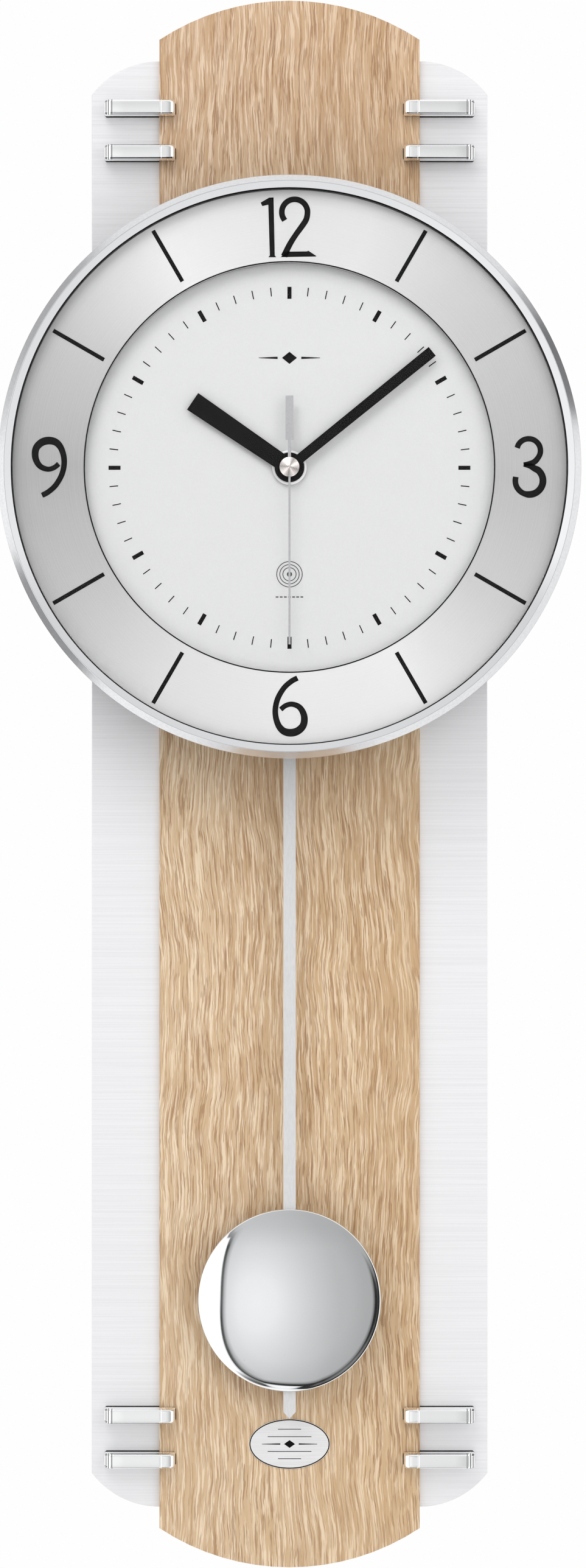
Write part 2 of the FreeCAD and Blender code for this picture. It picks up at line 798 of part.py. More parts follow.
def build_case():
    ledge_front = dial_rear
    wall_front = glass_rear - case_wall_gap
    rear_inner = case_rear + case_back_thickness
    drum = turned([(0, case_rear), (drum_radius, case_rear), (drum_radius, wall_front),
                   (drum_inner, wall_front), (drum_inner, ledge_front),
                   (drum_radius - case_ledge_width, ledge_front),
                   (drum_radius - case_ledge_width, rear_inner), (0, rear_inner)], 0, dial)
    half = movement_half_width + case_window_margin
    window = rounded_block(-half, half, dial + movement_low - case_window_margin,
                           dial + movement_high + case_window_margin, case_rear - 1,
                           rear_inner + 1, case_window_corner)
    keep("case_back", without(drum, window, *case_screws(), *bezel_screws()))

    skirt_inner = case_radius - bezel_wall
    bezel = turned([(case_radius, skirt_rear), (case_radius, bezel_fold),
                    (bezel_peak_radius, bezel_peak),
                    (bezel_opening_radius, glass_front + bezel_lip),
                    (bezel_opening_radius, glass_front),
                    (drum_inner, glass_front),
                    (bezel_peak_radius, glass_front + bezel_sheet_gap),
                    (skirt_inner, bezel_fold - bezel_fold_drop),
                    (skirt_inner, skirt_rear)], 0, dial)
    keep("bezel", without(bezel, *bezel_screws()))
    keep("bezel_screws", group(*bezel_screws()))

    glass_radius = drum_inner - glass_gap
    keep("glass", bar(glass_radius, glass_rear, glass_front, 0, dial))
    keep("glass_gasket", ring(fitted_radius, bezel_opening_radius - gasket_reveal, ring_face,
                              glass_rear, 0, dial))
    ring_rear = ring_face - numeral_ring_thickness
    keep("numeral_ring", ring(fitted_radius, numeral_ring_inner, ring_rear, ring_face, 0,
                              dial))
    inner_lip = numeral_ring_inner + spacer_lip_gap
    spacer = joined(ring(inner_lip + spacer_wall, inner_lip, dial_face, ring_rear, 0, dial),
                    ring(fitted_radius, fitted_radius - spacer_wall, dial_face, ring_rear,
                         0, dial),
                    ring(fitted_radius, inner_lip, dial_face, dial_face + spacer_web, 0,
                         dial))
    keep("ring_spacer", spacer)
    keep("inner_dial", ring(fitted_radius, neck_radius, dial_rear, dial_face, 0, dial))

    blocks = []
    for side in (-1, 1):
        edge = sorted((side * standoff_inner, side * standoff_outer))
        blocks.append(block(edge[0], edge[1], dial - standoff_half_length,
                            dial + standoff_half_length, wood_front, case_rear))
    keep("case_standoffs", group(*[without(piece, *case_screws()) for piece in blocks]))
    keep("case_screws", group(*case_screws()))


# ---- movement --------------------------------------------------------------------------------------
def movement_box(back, front, inset=0.0):
    half = movement_half_width - inset
    return rounded_block(-half, half, dial + movement_low + inset,
                         dial + movement_high - inset, back, front,
                         movement_corner - inset)


def battery_height():
    return dial + movement_high - movement_wall - battery_radius - battery_roof_gap


def button_places():
    x = movement_half_width - movement_wall - button_side_inset
    z = dial + movement_low + movement_wall + button_low_inset
    return {"reset_button": (x, z), "set_button": (x - button_spacing, z)}


def ferrite_place():
    """Depth and height of the aerial rod's axis."""
    return movement_rear + ferrite_depth, dial + movement_low + ferrite_rise


def cradles():
    """Two ribs of the rear cover that hold the aerial rod."""
    depth, z = ferrite_place()
    rod = Part.makeCylinder(ferrite_radius, ferrite_length, V(ferrite_left, -depth, z),
                            V(1, 0, 0))
    ribs = [block(x, x + cradle_width, z - ferrite_radius, z + ferrite_radius,
                  cover_inner - rib_root, depth) for x in cradle_places]
    return [rib.cut(rod) for rib in ribs]


def stator_posts():
    return [bar(stator_post_radius, cover_inner - rib_root, stator_rear, side * x, dial + z)
            for side in (-1, 1) for x, z in stator_post_places]


def build_movement_case():
    posts = [bar(plate_post_radius, middle_plate_front, housing_inner, x, dial + z)
             for x in (-plate_post_x, plate_post_x) for z in plate_post_heights]
    posts += [bar(plate_post_radius, board_rest, housing_inner, board_post_x, dial + z)
              for z in board_post_heights]
    front = movement_box(movement_seam, movement_front)
    front = front.cut(movement_box(movement_seam - 1, housing_inner, movement_wall))
    neck = bar(neck_radius, movement_front, dial_face + neck_rise, 0, dial)
    front = joined(front, neck, *posts)
    bore = bar(hour_tube_radius + running_clearance, housing_inner - 1,
               dial_face + neck_rise + 1, 0, dial)
    motion_bearing = bar(arbor_radius + running_clearance, housing_inner - 1,
                         housing_inner + motion_arbor_reach + arbor_end_play, 0,
                         dial - motion_centres)
    keep("movement_front_housing", without(front, bore, motion_bearing))

    rear = movement_box(movement_rear, movement_seam)
    rear = rear.cut(movement_box(cover_inner, movement_seam + 1, movement_wall))
    bearings = [(0, dial, second_arbor_radius), (-fine_centres, dial, arbor_radius),
                (fine_centres, dial, arbor_radius),
                (-rotor_side, dial + rotor_high, rotor_arbor_radius),
                (rotor_side, dial + rotor_high, rotor_arbor_radius)]
    for x, z, radius in bearings:
        boss = ring(radius + boss_wall, radius + running_clearance, cover_inner,
                    cover_inner + boss_height, x, z)
        rear = rear.fuse(boss)
    for piece in cradles() + stator_posts():
        rear = rear.fuse(piece)
    bay_half = battery_length / 2 + battery_bay_end
    bay_rise = battery_radius - battery_bay_lip
    battery_bay = block(-bay_half, bay_half, battery_height() - bay_rise,
                        battery_height() + bay_rise, movement_rear - 1, cover_inner + 1)
    holes = [bar(button_radius + loose_clearance, movement_rear - 1, cover_inner + 1, x, z)
             for x, z in button_places().values()]
    pin = bar(pivot_pin_radius, movement_rear - 1, cover_inner, 0, pivot)
    keep("movement_rear_cover", without(rear.removeSplitter(), battery_bay, pin, *holes))

    keep("rubber_washer", ring(rubber_washer_radius, neck_radius, movement_front, dial_rear,
                               0, dial))
    nut = bar(nut_face_radius, dial_face, dial_face + fixing_nut_height, 0, dial)
    keep("fixing_nut", nut.cut(bar(neck_radius, dial_rear, ring_face, 0, dial)))
    plate_body = block(-middle_plate_half_width, middle_plate_half_width,
                       dial + middle_plate_low, dial + middle_plate_high,
                       middle_plate_rear, middle_plate_front)
    arbor_hole = arbor_radius + running_clearance
    rotor_arbor_hole = rotor_arbor_radius + running_clearance
    holes = [bar(second_arbor_radius + loose_clearance, 0, ring_face, 0, dial),
             bar(arbor_hole, 0, ring_face, 0, dial - motion_centres)]
    for side in (-1, 1):
        holes.append(bar(arbor_hole, 0, ring_face, side * fine_centres, dial))
        holes.append(bar(rotor_arbor_hole, 0, ring_face, side * rotor_side,
                         dial + rotor_high))
    keep("middle_plate", without(plate_body, *holes))


def build_electrics():
    board_rear = board_rest - circuit_board_thickness
    switch_rear = board_rear - switch_height
    board = block(circuit_left, circuit_right, dial + circuit_low, dial + circuit_high,
                  board_rear, board_rest)
    chip = block(chip_left, chip_left + chip_width, dial + chip_low,
                 dial + chip_low + chip_width, switch_rear, board_rear)
    crystal = Part.makeCylinder(crystal_radius, crystal_length,
                                V(crystal_x, crystal_radius - board_rear,
                                  dial + crystal_low), V(0, 0, 1))
    switches = [block(x - switch_half, x + switch_half, z - switch_half, z + switch_half,
                      switch_rear, board_rear) for x, z in button_places().values()]
    keep("circuit_board", group(board, chip, crystal, *switches))

    depth, z = ferrite_place()
    rod = Part.makeCylinder(ferrite_radius, ferrite_length, V(ferrite_left, -depth, z),
                            V(1, 0, 0))
    winding = Part.makeCylinder(ferrite_radius + winding_build, winding_length,
                                V(winding_left, -depth, z), V(1, 0, 0))
    keep("ferrite_rod", rod)
    keep("antenna_winding", winding.cut(rod))

    half = battery_length / 2
    axis_depth = movement_rear + battery_axis_depth
    z = battery_height()
    cell = Part.makeCylinder(battery_radius, battery_length - battery_cap_length,
                             V(-half, -axis_depth, z), V(1, 0, 0))
    cap = Part.makeCylinder(battery_cap_radius, battery_cap_length,
                            V(half - battery_cap_length, -axis_depth, z), V(1, 0, 0))
    keep("battery", joined(cell, cap))
    inner_half = movement_half_width - movement_wall
    blade = block(inner_half - contact_thickness, inner_half, z - contact_half,
                  z + contact_half, axis_depth - contact_half, axis_depth + contact_half)
    stud = Part.makeCylinder(contact_stud_radius, inner_half - half,
                             V(half, -axis_depth, z), V(1, 0, 0))
    positive = joined(blade, stud)
    negative = blade.mirror(V(0, 0, 0), V(1, 0, 0))
    spring = Part.makeCone(contact_spring_tip, contact_spring_base, inner_half - half,
                           V(-half, -axis_depth, z), V(-1, 0, 0))
    keep("battery_contacts", group(positive, joined(negative, spring)))

    stators = []
    coils = []
    core_x = movement_half_width - core_inset
    stator_outer = core_x + stator_overhang
    sheet_front = stator_rear + stator_sheet
    near = block(stator_inner, stator_outer, stator_pole_low, stator_high, stator_rear,
                 sheet_front)
    leg = block(stator_inner, stator_leg_outer, stator_low, stator_pole_low, stator_rear,
                sheet_front)
    far = block(stator_inner, stator_outer, stator_low, stator_yoke_high, stator_rear,
                sheet_front)
    core = block(core_x - core_half, core_x + core_half, stator_low, stator_high,
                 stator_rear - core_thickness, stator_rear)
    hole = bar(rotor_hole_radius, 0, ring_face, rotor_side, rotor_high)
    stator = joined(near, leg, far, core).cut(hole)
    coil = Part.makeCylinder(coil_radius, coil_length,
                             V(core_x, coil_axis_gap - stator_rear, coil_low), V(0, 0, 1))
    for piece, pieces in ((stator, stators), (coil.cut(core), coils)):
        piece.translate(V(0, 0, dial))
        pieces += [piece, piece.mirror(V(0, 0, 0), V(1, 0, 0))]
    keep("motor_stators", group(*stators))
    keep("motor_coils", group(*coils))

    for name, (x, z) in button_places().items():
        stem = bar(button_radius, movement_rear - button_proud, button_front, x, z)
        flange_rear = cover_inner + button_flange_gap
        flange = bar(button_flange_radius, flange_rear, flange_rear + button_flange_height,
                     x, z)
        keep(name, joined(stem, flange))


# ---- wheels ------------------------------------------------------------------------------------------
def direction(x_from, z_from, x_to, z_to):
    return math.degrees(math.atan2(z_to - z_from, x_to - x_from))


def meshing_angle(followed_teeth, followed_tooth, follower_teeth, towards):
    """Tooth angle that puts a follower in mesh; towards points from the followed gear."""
    followed_step = 360.0 / followed_teeth
    follower_step = 360.0 / follower_teeth
    past = ((towards - followed_tooth) % followed_step) / followed_step
    return towards + 180.0 + follower_step * (0.5 + past)


def build_seconds_train(side, name, wheel, wheel_rear, wheel_tooth):
    """Intermediate wheel and stepping rotor that drive one of the two centre wheels."""
    x = side * fine_centres
    z = dial
    rotor_x = side * rotor_side
    rotor_z = dial + rotor_high
    towards = direction(0, dial, x, z)
    pinion_tooth = meshing_angle(centre_teeth, wheel_tooth, pinion_teeth, towards)
    pinion_front = wheel_rear + pinion_reach
    pinion = gear(module_fine, pinion_teeth, wheel_rear - pinion_overhang, pinion_front, x,
                  z, pinion_tooth)
    middle_wheel = gear(module_fine, intermediate_teeth, intermediate_rear,
                        intermediate_rear + wheel_thickness, x, z, pinion_tooth)
    front_end = max(middle_plate_front - arbor_end_play, pinion_front)
    arbor = bar(arbor_radius, cover_inner + arbor_rear_gap, front_end, x, z)
    keep(name + "_intermediate_wheel", joined(arbor, pinion, middle_wheel))

    towards = direction(x, z, rotor_x, rotor_z)
    rotor_tooth = meshing_angle(intermediate_teeth, pinion_tooth, pinion_teeth, towards)
    rotor_pinion = gear(module_fine, pinion_teeth, intermediate_rear - pinion_overhang,
                        intermediate_rear + rotor_pinion_reach, rotor_x, rotor_z,
                        rotor_tooth)
    magnet = bar(rotor_magnet_radius, intermediate_rear - rotor_magnet_rear,
                 intermediate_rear - rotor_magnet_front, rotor_x, rotor_z)
    arbor = bar(rotor_arbor_radius, cover_inner + arbor_rear_gap,
                middle_plate_front - arbor_end_play, rotor_x, rotor_z)
    keep(name + "_rotor", joined(arbor, rotor_pinion, magnet))
    keep(name + "_wheel", wheel)


def build_wheels():
    second = joined(gear(module_fine, centre_teeth, second_wheel_rear,
                         second_wheel_rear + centre_wheel_thickness, 0, dial, 0.0),
                    bar(second_arbor_radius, cover_inner + arbor_rear_gap, arbor_front, 0,
                        dial))
    build_seconds_train(1, "second", second, second_wheel_rear, 0.0)

    minute = joined(gear(module_fine, centre_teeth, minute_wheel_rear,
                         minute_wheel_rear + centre_wheel_thickness, 0, dial, 0.0),
                    bar(minute_tube_radius, minute_wheel_rear,
                        minute_hand_rear + hand_thickness + arbor_past_hand, 0, dial),
                    gear(module_minute_pinion, minute_pinion_teeth, minute_pinion_rear,
                         minute_pinion_rear + minute_pinion_length, 0, dial, -90.0))
    minute = minute.cut(bar(second_arbor_radius + running_clearance, 0, glass_rear, 0, dial))
    build_seconds_train(-1, "minute", minute, minute_wheel_rear, 0.0)

    x = 0.0
    z = dial - motion_centres
    wheel_tooth = meshing_angle(minute_pinion_teeth, -90.0, motion_wheel_teeth, -90.0)
    wheel_rear = minute_pinion_rear + pinion_overhang
    wheel_front = wheel_rear + centre_wheel_thickness
    motion = joined(gear(module_minute_pinion, motion_wheel_teeth, wheel_rear, wheel_front, x,
                         z, wheel_tooth),
                    gear(module_hour, motion_pinion_teeth, wheel_front,
                         hour_wheel_rear + motion_pinion_reach, x, z, 90.0),
                    bar(arbor_radius, middle_plate_rear + arbor_end_play,
                        housing_inner + motion_arbor_reach, x, z))
    keep("motion_wheel", motion)
    hour_tooth = meshing_angle(motion_pinion_teeth, 90.0, hour_wheel_teeth, 90.0)
    hour = joined(gear(module_hour, hour_wheel_teeth, hour_wheel_rear,
                       hour_wheel_rear + centre_wheel_thickness, 0, dial, hour_tooth),
                  bar(hour_tube_radius, hour_wheel_rear,
                      hour_hand_rear + hand_thickness + hand_boss_front, 0, dial))
    hour = hour.cut(bar(minute_tube_radius + running_clearance, 0, glass_rear, 0, dial))
    keep("hour_wheel", hour)


# ---- hands ---------------------------------------------------------------------------------------------
def tapered_hand(root, tip, length, boss_radius, back):
    """Hand that points up, a little wider at its tip, with a round boss on its arbor."""
    blade = polygon_plate([(-root / 2, dial), (root / 2, dial),
                           (tip / 2, dial + length), (-tip / 2, dial + length)],
                          back, back + hand_thickness)
    return blade.fuse(bar(boss_radius, back - hand_boss_rear,
                          back + hand_thickness + hand_boss_front, 0, dial))


def build_hands():
    hour = tapered_hand(hour_hand_root, hour_hand_tip, hour_hand_length, hour_boss_radius,
                        hour_hand_rear)
    hour = hour.cut(bar(hour_tube_radius, 0, glass_rear, 0, dial)).removeSplitter()
    keep("hour_hand", clockwise(hour, hour_angle, 0, dial))
    minute = tapered_hand(minute_hand_root, minute_hand_tip, minute_hand_length,
                          minute_boss_radius, minute_hand_rear)
    minute = minute.cut(bar(minute_tube_radius, 0, glass_rear, 0, dial)).removeSplitter()
    keep("minute_hand", clockwise(minute, minute_angle, 0, dial))

    back = second_hand_rear
    front = back + second_hand_sheet
    second = joined(
        block(-second_hand_width / 2, second_hand_width / 2, dial,
              dial + second_hand_length, back, front),
        block(-second_neck_width / 2, second_neck_width / 2, dial - second_tail_end, dial,
              back, front),
        block(-second_tail_width / 2, second_tail_width / 2, dial - second_tail_end,
              dial - second_tail_start, back, front),
        bar(second_boss_radius, back - second_boss_rear, front, 0, dial))
    second = second.cut(bar(second_arbor_radius, 0, glass_rear, 0, dial))
    keep("second_hand", clockwise(second, second_angle, 0, dial))
    cap = taper(cap_radius, cap_tip_radius, front, front + cap_height, 0, dial)
    keep("hand_cap", cap.cut(bar(second_arbor_radius, 0, arbor_front, 0, dial)))


# ---- pendulum ------------------------------------------------------------------------------------------
def domed_shell(radius, rim, dome, sheet, rear):
    """Pressed dish: a short rim and a spherical face, hollow behind."""
    def half_section(r, height, front):
        sphere = (r ** 2 + height ** 2) / (2 * height)
        bend = r / 2
        drop = sphere - math.sqrt(sphere ** 2 - bend ** 2)
        return (bend, front - drop), (r, front - height)

    front = rear + rim + dome
    outer_mid, outer_end = half_section(radius, dome, front)
    inner_mid, inner_end = half_section(radius - sheet, dome - 0.1, front - sheet)

    def at(point):
        return V(point[0], -point[1], bob)

    edges = [
        Part.Arc(at((0, front)), at(outer_mid), at(outer_end)).toShape(),
        Part.LineSegment(at(outer_end), at((radius, rear))).toShape(),
        Part.LineSegment(at((radius, rear)), at((radius - sheet, rear))).toShape(),
        Part.LineSegment(at((radius - sheet, rear)), at(inner_end)).toShape(),
        Part.Arc(at(inner_end), at(inner_mid), at((0, front - sheet))).toShape(),
        Part.LineSegment(at((0, front - sheet)), at((0, front))).toShape(),
    ]
    return Part.Face(Part.Wire(edges)).revolve(V(0, 0, bob), V(0, 1, 0), 360)


def build_pendulum():
    hook = dial - rod_hook_below_dial
    tail = bob - bob_radius - tail_below_bob
    half = rod_width / 2
    rod_top = hook + rod_above_hook
    rod = polygon_plate([(-half, rod_top), (-half, tail + tail_point), (0, tail),
                         (half, tail + tail_point), (half, rod_top)], rod_rear, rod_front)
    rod = rod.cut(bar(peg_radius, 0, lever_rear, 0, hook))
    keep("pendulum_rod", rod)

    lever_front = lever_rear + lever_thickness
    hub_rear = lever_rear - hub_rise
    hub_front = movement_rear - hub_front_gap
    arm = rounded_block(-lever_width / 2, lever_width / 2, hook - lever_below_hook,
                        pivot + lever_above_pivot, lever_rear, lever_front, lever_corner)
    hub = bar(hub_radius, hub_rear, hub_front, 0, pivot)
    peg = joined(bar(peg_radius, rod_rear, lever_rear, 0, hook),
                 bar(peg_head_radius, rod_rear - peg_head_height, rod_rear, 0, hook))
    shoulder = ring(peg_shoulder_radius, peg_radius, rod_front, lever_rear, 0, hook)
    lever = joined(arm, hub, peg, shoulder)
    lever = lever.cut(bar(pivot_pin_radius + running_clearance, 0, 100, 0, pivot))
    keep("pendulum_lever", lever)
    magnet_z = dial - magnet_below_dial
    keep("lever_magnet", bar(magnet_radius, lever_front, lever_front + magnet_height, 0,
                             magnet_z))
    keep("drive_coil", ring(drive_coil_radius, drive_coil_inner,
                            movement_rear - drive_coil_height, movement_rear, 0, magnet_z))

    bracket_rear = hub_rear - bracket_gap
    low = pivot - bracket_half_height
    high = pivot + bracket_half_height
    outer = bracket_half_width
    inner = outer - bracket_sheet
    bracket = joined(block(-outer, outer, low, high, bracket_rear,
                           bracket_rear + bracket_sheet),
                     block(-outer, -inner, low, high, bracket_rear, movement_rear),
                     block(inner, outer, low, high, bracket_rear, movement_rear))
    pin = bar(pivot_pin_radius, bracket_rear - pin_past_bracket, cover_inner - pin_end_gap,
              0, pivot)
    keep("pendulum_bracket", bracket.cut(pin))
    keep("pivot_pin", pin)

    shell = domed_shell(bob_radius, bob_rim, bob_dome, bob_sheet, rod_front)
    keep("bob_shell", shell)
    keep("bob_back_plate", bar(bob_radius - bob_sheet, rod_front, rod_front + bob_sheet, 0,
                               bob))
    strap = block(-strap_half_width, strap_half_width, bob - strap_half_height,
                  bob + strap_half_height, strap_rear, rod_front)
    channel = block(-half, half, tail, rod_top, rod_rear, rod_front + 1)
    keep("bob_strap", strap.cut(channel))


build_back()
build_panels()
build_clips()
build_case()
build_movement_case()
build_electrics()
build_wheels()
build_hands()
build_pendulum()

os.makedirs("parts", exist_ok=True)
for node, shape in parts.items():
    shape.exportStep("parts/" + node + ".step")
print(len(parts), "nodes written")
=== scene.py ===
"""Pendulum wall clock: smooth turned and pressed pieces, printed dial and finishes."""

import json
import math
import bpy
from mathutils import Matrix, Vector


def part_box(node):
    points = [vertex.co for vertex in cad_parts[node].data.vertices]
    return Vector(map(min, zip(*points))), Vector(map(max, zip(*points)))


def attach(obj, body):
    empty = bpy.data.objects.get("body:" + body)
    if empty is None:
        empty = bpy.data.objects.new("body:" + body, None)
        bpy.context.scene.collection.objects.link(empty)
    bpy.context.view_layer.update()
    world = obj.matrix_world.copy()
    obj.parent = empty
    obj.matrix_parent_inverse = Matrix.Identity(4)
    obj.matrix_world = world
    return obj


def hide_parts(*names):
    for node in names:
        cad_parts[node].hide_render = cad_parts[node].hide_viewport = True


bl_info = {
    "name": "Pendulum Wall Clock",
    "version": (1, 0, 0),
    "blender": (4, 5, 0),
    "location": "View3D > Sidebar > Clock",
    "description": "Details and finishes for an oak and aluminium pendulum wall clock",
    "category": "Object",
}

import bmesh
import bpy
from bpy.props import FloatProperty, FloatVectorProperty, IntProperty, PointerProperty
from mathutils import Vector

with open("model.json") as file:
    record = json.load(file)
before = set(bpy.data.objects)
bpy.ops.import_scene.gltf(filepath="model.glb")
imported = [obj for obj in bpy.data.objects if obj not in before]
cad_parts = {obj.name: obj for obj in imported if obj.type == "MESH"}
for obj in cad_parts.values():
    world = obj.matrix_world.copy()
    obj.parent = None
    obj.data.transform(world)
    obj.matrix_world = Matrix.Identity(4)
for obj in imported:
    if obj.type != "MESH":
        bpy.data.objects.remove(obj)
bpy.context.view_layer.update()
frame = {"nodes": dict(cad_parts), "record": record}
MM = 0.001


def middle_of(node):
    low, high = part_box(node)
    return (Vector(low) + Vector(high)) / 2


def depths_of(node):
    """How far a node's rear and front stand before the wall, in millimetres."""
    low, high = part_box(node)
    return -high[1] / MM, -low[1] / MM


def half_width(node):
    """Half of a node's width across the clock, in millimetres."""
    low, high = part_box(node)
    return (high[0] - low[0]) / 2 / MM


DIAL_Z = middle_of("numeral_ring").z
BOB_Z = middle_of("bob_shell").z
RING_FACE = depths_of("numeral_ring")[1]
DIAL_FACE = depths_of("inner_dial")[1]
WOOD_FRONT = depths_of("wood_front_panel")[1]
ALUMINIUM_FRONT = depths_of("side_panel_left")[1]
OVAL_FRONT = depths_of("oval_plate")[1]


# ---- settings --------------------------------------------------------------------------
def length(name, description, millimetres):
    return FloatProperty(name=name, description=description, default=millimetres * MM,
                         min=0.0, unit="LENGTH", precision=5)


def colour(name, description, value):
    return FloatVectorProperty(name=name, description=description, default=value,
                               subtype="COLOR", size=3, min=0.0, max=1.0)


class ClockSizes(bpy.types.PropertyGroup):
    print_thickness: length("Print thickness", "Height of the printed ink", 0.04)
    bar_inner: length("Bar inner radius", "Inner end of the hour bars", 90.5)
    bar_outer: length("Bar outer radius", "Outer end of the hour bars", 115.3)
    bar_width: length("Bar width", "Width of the hour bars", 1.75)
    numeral_radius: length("Numeral radius", "Dial centre to a numeral's middle", 101.2)
    track_radius: length("Track radius", "Outer end of the minute marks", 76.7)
    hour_mark: length("Hour mark length", "Length of the marks at the hours", 5.1)
    hour_mark_width: length("Hour mark width", "Width of the marks at the hours", 1.75)
    minute_mark: length("Minute mark length", "Length of the minute marks", 3.7)
    minute_mark_width: length("Minute mark width", "Width of the minute marks", 0.45)
    emblem_drop: length("Signal sign drop", "Dial centre down to the sign", 45.1)
    ornament_rise: length("Ornament rise", "Dial centre up to the ornament", 46.6)
    stroke_weight: FloatProperty(name="Stroke weight",
                                 description="Boldness of the numerals' strokes",
                                 default=1.08, min=0.5, max=2.0)
    round_segments: IntProperty(name="Round segments",
                                description="Steps round the turned pieces",
                                default=256, min=32, max=1024)


class ClockColours(bpy.types.PropertyGroup):
    oak_light: colour("Oak light", "Pale ground of the oak", (0.645, 0.455, 0.268))
    oak_dark: colour("Oak dark", "Late growth bands of the oak", (0.46, 0.27, 0.125))
    oak_cream: colour("Oak cream", "Pale fibres of the oak", (0.93, 0.77, 0.57))
    oak_pore: colour("Oak pores", "Open pores of the oak", (0.29, 0.135, 0.048))
    aluminium: colour("Aluminium", "Brushed side strips", (0.90, 0.90, 0.912))
    dial: colour("Dial", "Inner dial's lacquer", (0.527, 0.53, 0.53))
    case: colour("Case", "Drum behind the bezel", (0.035, 0.036, 0.038))
    ink: colour("Ink", "Printed numerals and marks", (0.006, 0.006, 0.006))
    chrome: colour("Chrome", "Clips, bob and hand cap", (0.88, 0.89, 0.90))


class ClockSettings(bpy.types.PropertyGroup):
    sizes: PointerProperty(type=ClockSizes)
    colours: PointerProperty(type=ClockColours)


def settings():
    return bpy.context.scene.pendulum_clock


def in_mm(name):
    return getattr(settings().sizes, name) / MM


# ---- mesh helpers ----------------------------------------------------------------------
def place(u, v, depth, centre=0.0):
    """Point u to the right, v above the centre height, at a depth; millimetres."""
    return Vector((u * MM, -depth * MM, centre + v * MM))


def finished(name, bm, material, smooth=True):
    """Turn a bmesh into an object with one or several materials."""
    bmesh.ops.recalc_face_normals(bm, faces=bm.faces)
    mesh = bpy.data.meshes.new(name)
    bm.to_mesh(mesh)
    bm.free()
    for one in material if isinstance(material, (list, tuple)) else [material]:
        mesh.materials.append(one)
    mesh.polygons.foreach_set("use_smooth", [smooth] * len(mesh.polygons))
    made = bpy.data.objects.new(name, mesh)
    bpy.context.scene.collection.objects.link(made)
    return made


def edge_softened(made, width, angle):
    """Small machined edge that catches light."""
    bevel = made.modifiers.new("Edge", "BEVEL")
    bevel.width = width * MM
    bevel.segments = 2
    bevel.limit_method = "ANGLE"
    bevel.angle_limit = math.radians(angle)
    bevel.harden_normals = True
    bevel.use_clamp_overlap = True


def rounded(corners, steps=5):
    """Profile of (radius, depth, fillet) corners, with its corners rounded."""
    points = []
    count = len(corners)
    for index in range(count):
        here = Vector(corners[index][:2])
        fillet = corners[index][2]
        before = Vector(corners[index - 1][:2]) - here
        after = Vector(corners[(index + 1) % count][:2]) - here
        if fillet == 0.0 or before.length == 0.0 or after.length == 0.0:
            points.append(here)
            continue
        half = before.angle(after) / 2
        reach = min(fillet / math.tan(half), before.length * 0.45, after.length * 0.45)
        start = here + before.normalized() * reach
        end = here + after.normalized() * reach
        for step in range(steps + 1):
            t = step / steps
            points.append(start * (1 - t) ** 2 + here * 2 * t * (1 - t) + end * t ** 2)
    return points


def turned(name, profile, centre_z, materials, polished=None):
    """Turned piece from closed (radius, depth) points.

    The polished test picks the rows that take the second material.
    """
    segments = settings().sizes.round_segments
    bm = bmesh.new()
    rings = []
    for radius, depth in profile:
        if radius < 1e-6:
            rings.append([bm.verts.new(place(0, 0, depth, centre_z))])
            continue
        ring = []
        for step in range(segments):
            angle = 2 * math.pi * step / segments
            ring.append(bm.verts.new(place(radius * math.sin(angle),
                                           radius * math.cos(angle), depth, centre_z)))
        rings.append(ring)
    for index, ring in enumerate(rings):
        following = rings[(index + 1) % len(rings)]
        if len(ring) == 1 and len(following) == 1:
            continue
        for step in range(segments):
            after = (step + 1) % segments
            corners = [ring[step % len(ring)], ring[after % len(ring)],
                       following[after % len(following)], following[step % len(following)]]
            corners = list(dict.fromkeys(corners))
            face = bm.faces.new(corners)
            if polished and polished(profile[index], profile[(index + 1) % len(profile)]):
                face.material_index = 1
    return shaded_evenly(finished(name, bm, materials))


def prism(bm, outline, side, front, rear, centre=0.0):
    """Solid between two depths from an outline of (u, v) points; side may mirror it."""
    ends = [[bm.verts.new(place(side * u, v, depth, centre)) for u, v in outline]
            for depth in (front, rear)]
    bm.faces.new(ends[0])
    bm.faces.new(ends[1][::-1])
    for index in range(len(outline)):
        after = (index + 1) % len(outline)
        bm.faces.new((ends[0][index], ends[1][index], ends[1][after], ends[0][after]))


def shaded_evenly(made):
    """Flat faces stay flat and rounded edges blend into them."""
    weighted = made.modifiers.new("Even shading", "WEIGHTED_NORMAL")
    weighted.keep_sharp = True
    return made


def flat_print(name, outlines, depth, centre_z, material):
    """Raised ink from closed outlines of (u, v) points in millimetres."""
    bm = bmesh.new()
    front = depth + in_mm("print_thickness")
    for outline in outlines:
        bm.faces.new([bm.verts.new(place(u, v, front, centre_z)) for u, v in outline])
    bmesh.ops.remove_doubles(bm, verts=bm.verts, dist=0.001 * MM)
    bmesh.ops.triangulate(bm, faces=[f for f in bm.faces if len(f.verts) > 4])
    backward = Vector((0, (in_mm("print_thickness") + 0.01) * MM, 0))
    edges = [edge for edge in bm.edges if edge.is_boundary]
    faces = bm.faces[:]
    rear = {vert: bm.verts.new(vert.co + backward) for vert in bm.verts[:]}
    for face in faces:
        bm.faces.new([rear[vert] for vert in reversed(face.verts)])
    for edge in edges:
        one, other = edge.verts
        bm.faces.new((one, other, rear[other], rear[one]))
    return finished(name, bm, material, smooth=False)


def along(points, steps):
    """Smooth run through points of any number of values."""
    run = []
    for index in range(len(points) - 1):
        before = points[max(index - 1, 0)]
        start = points[index]
        end = points[index + 1]
        after = points[min(index + 2, len(points) - 1)]
        for step in range(steps):
            t = step / steps
            run.append(tuple(
                0.5 * (2 * b + (c - a) * t + (2 * a - 5 * b + 4 * c - d) * t ** 2
                       + (3 * b - a - 3 * c + d) * t ** 3)
                for a, b, c, d in zip(before, start, end, after)))
    run.append(tuple(points[-1]))
    return run


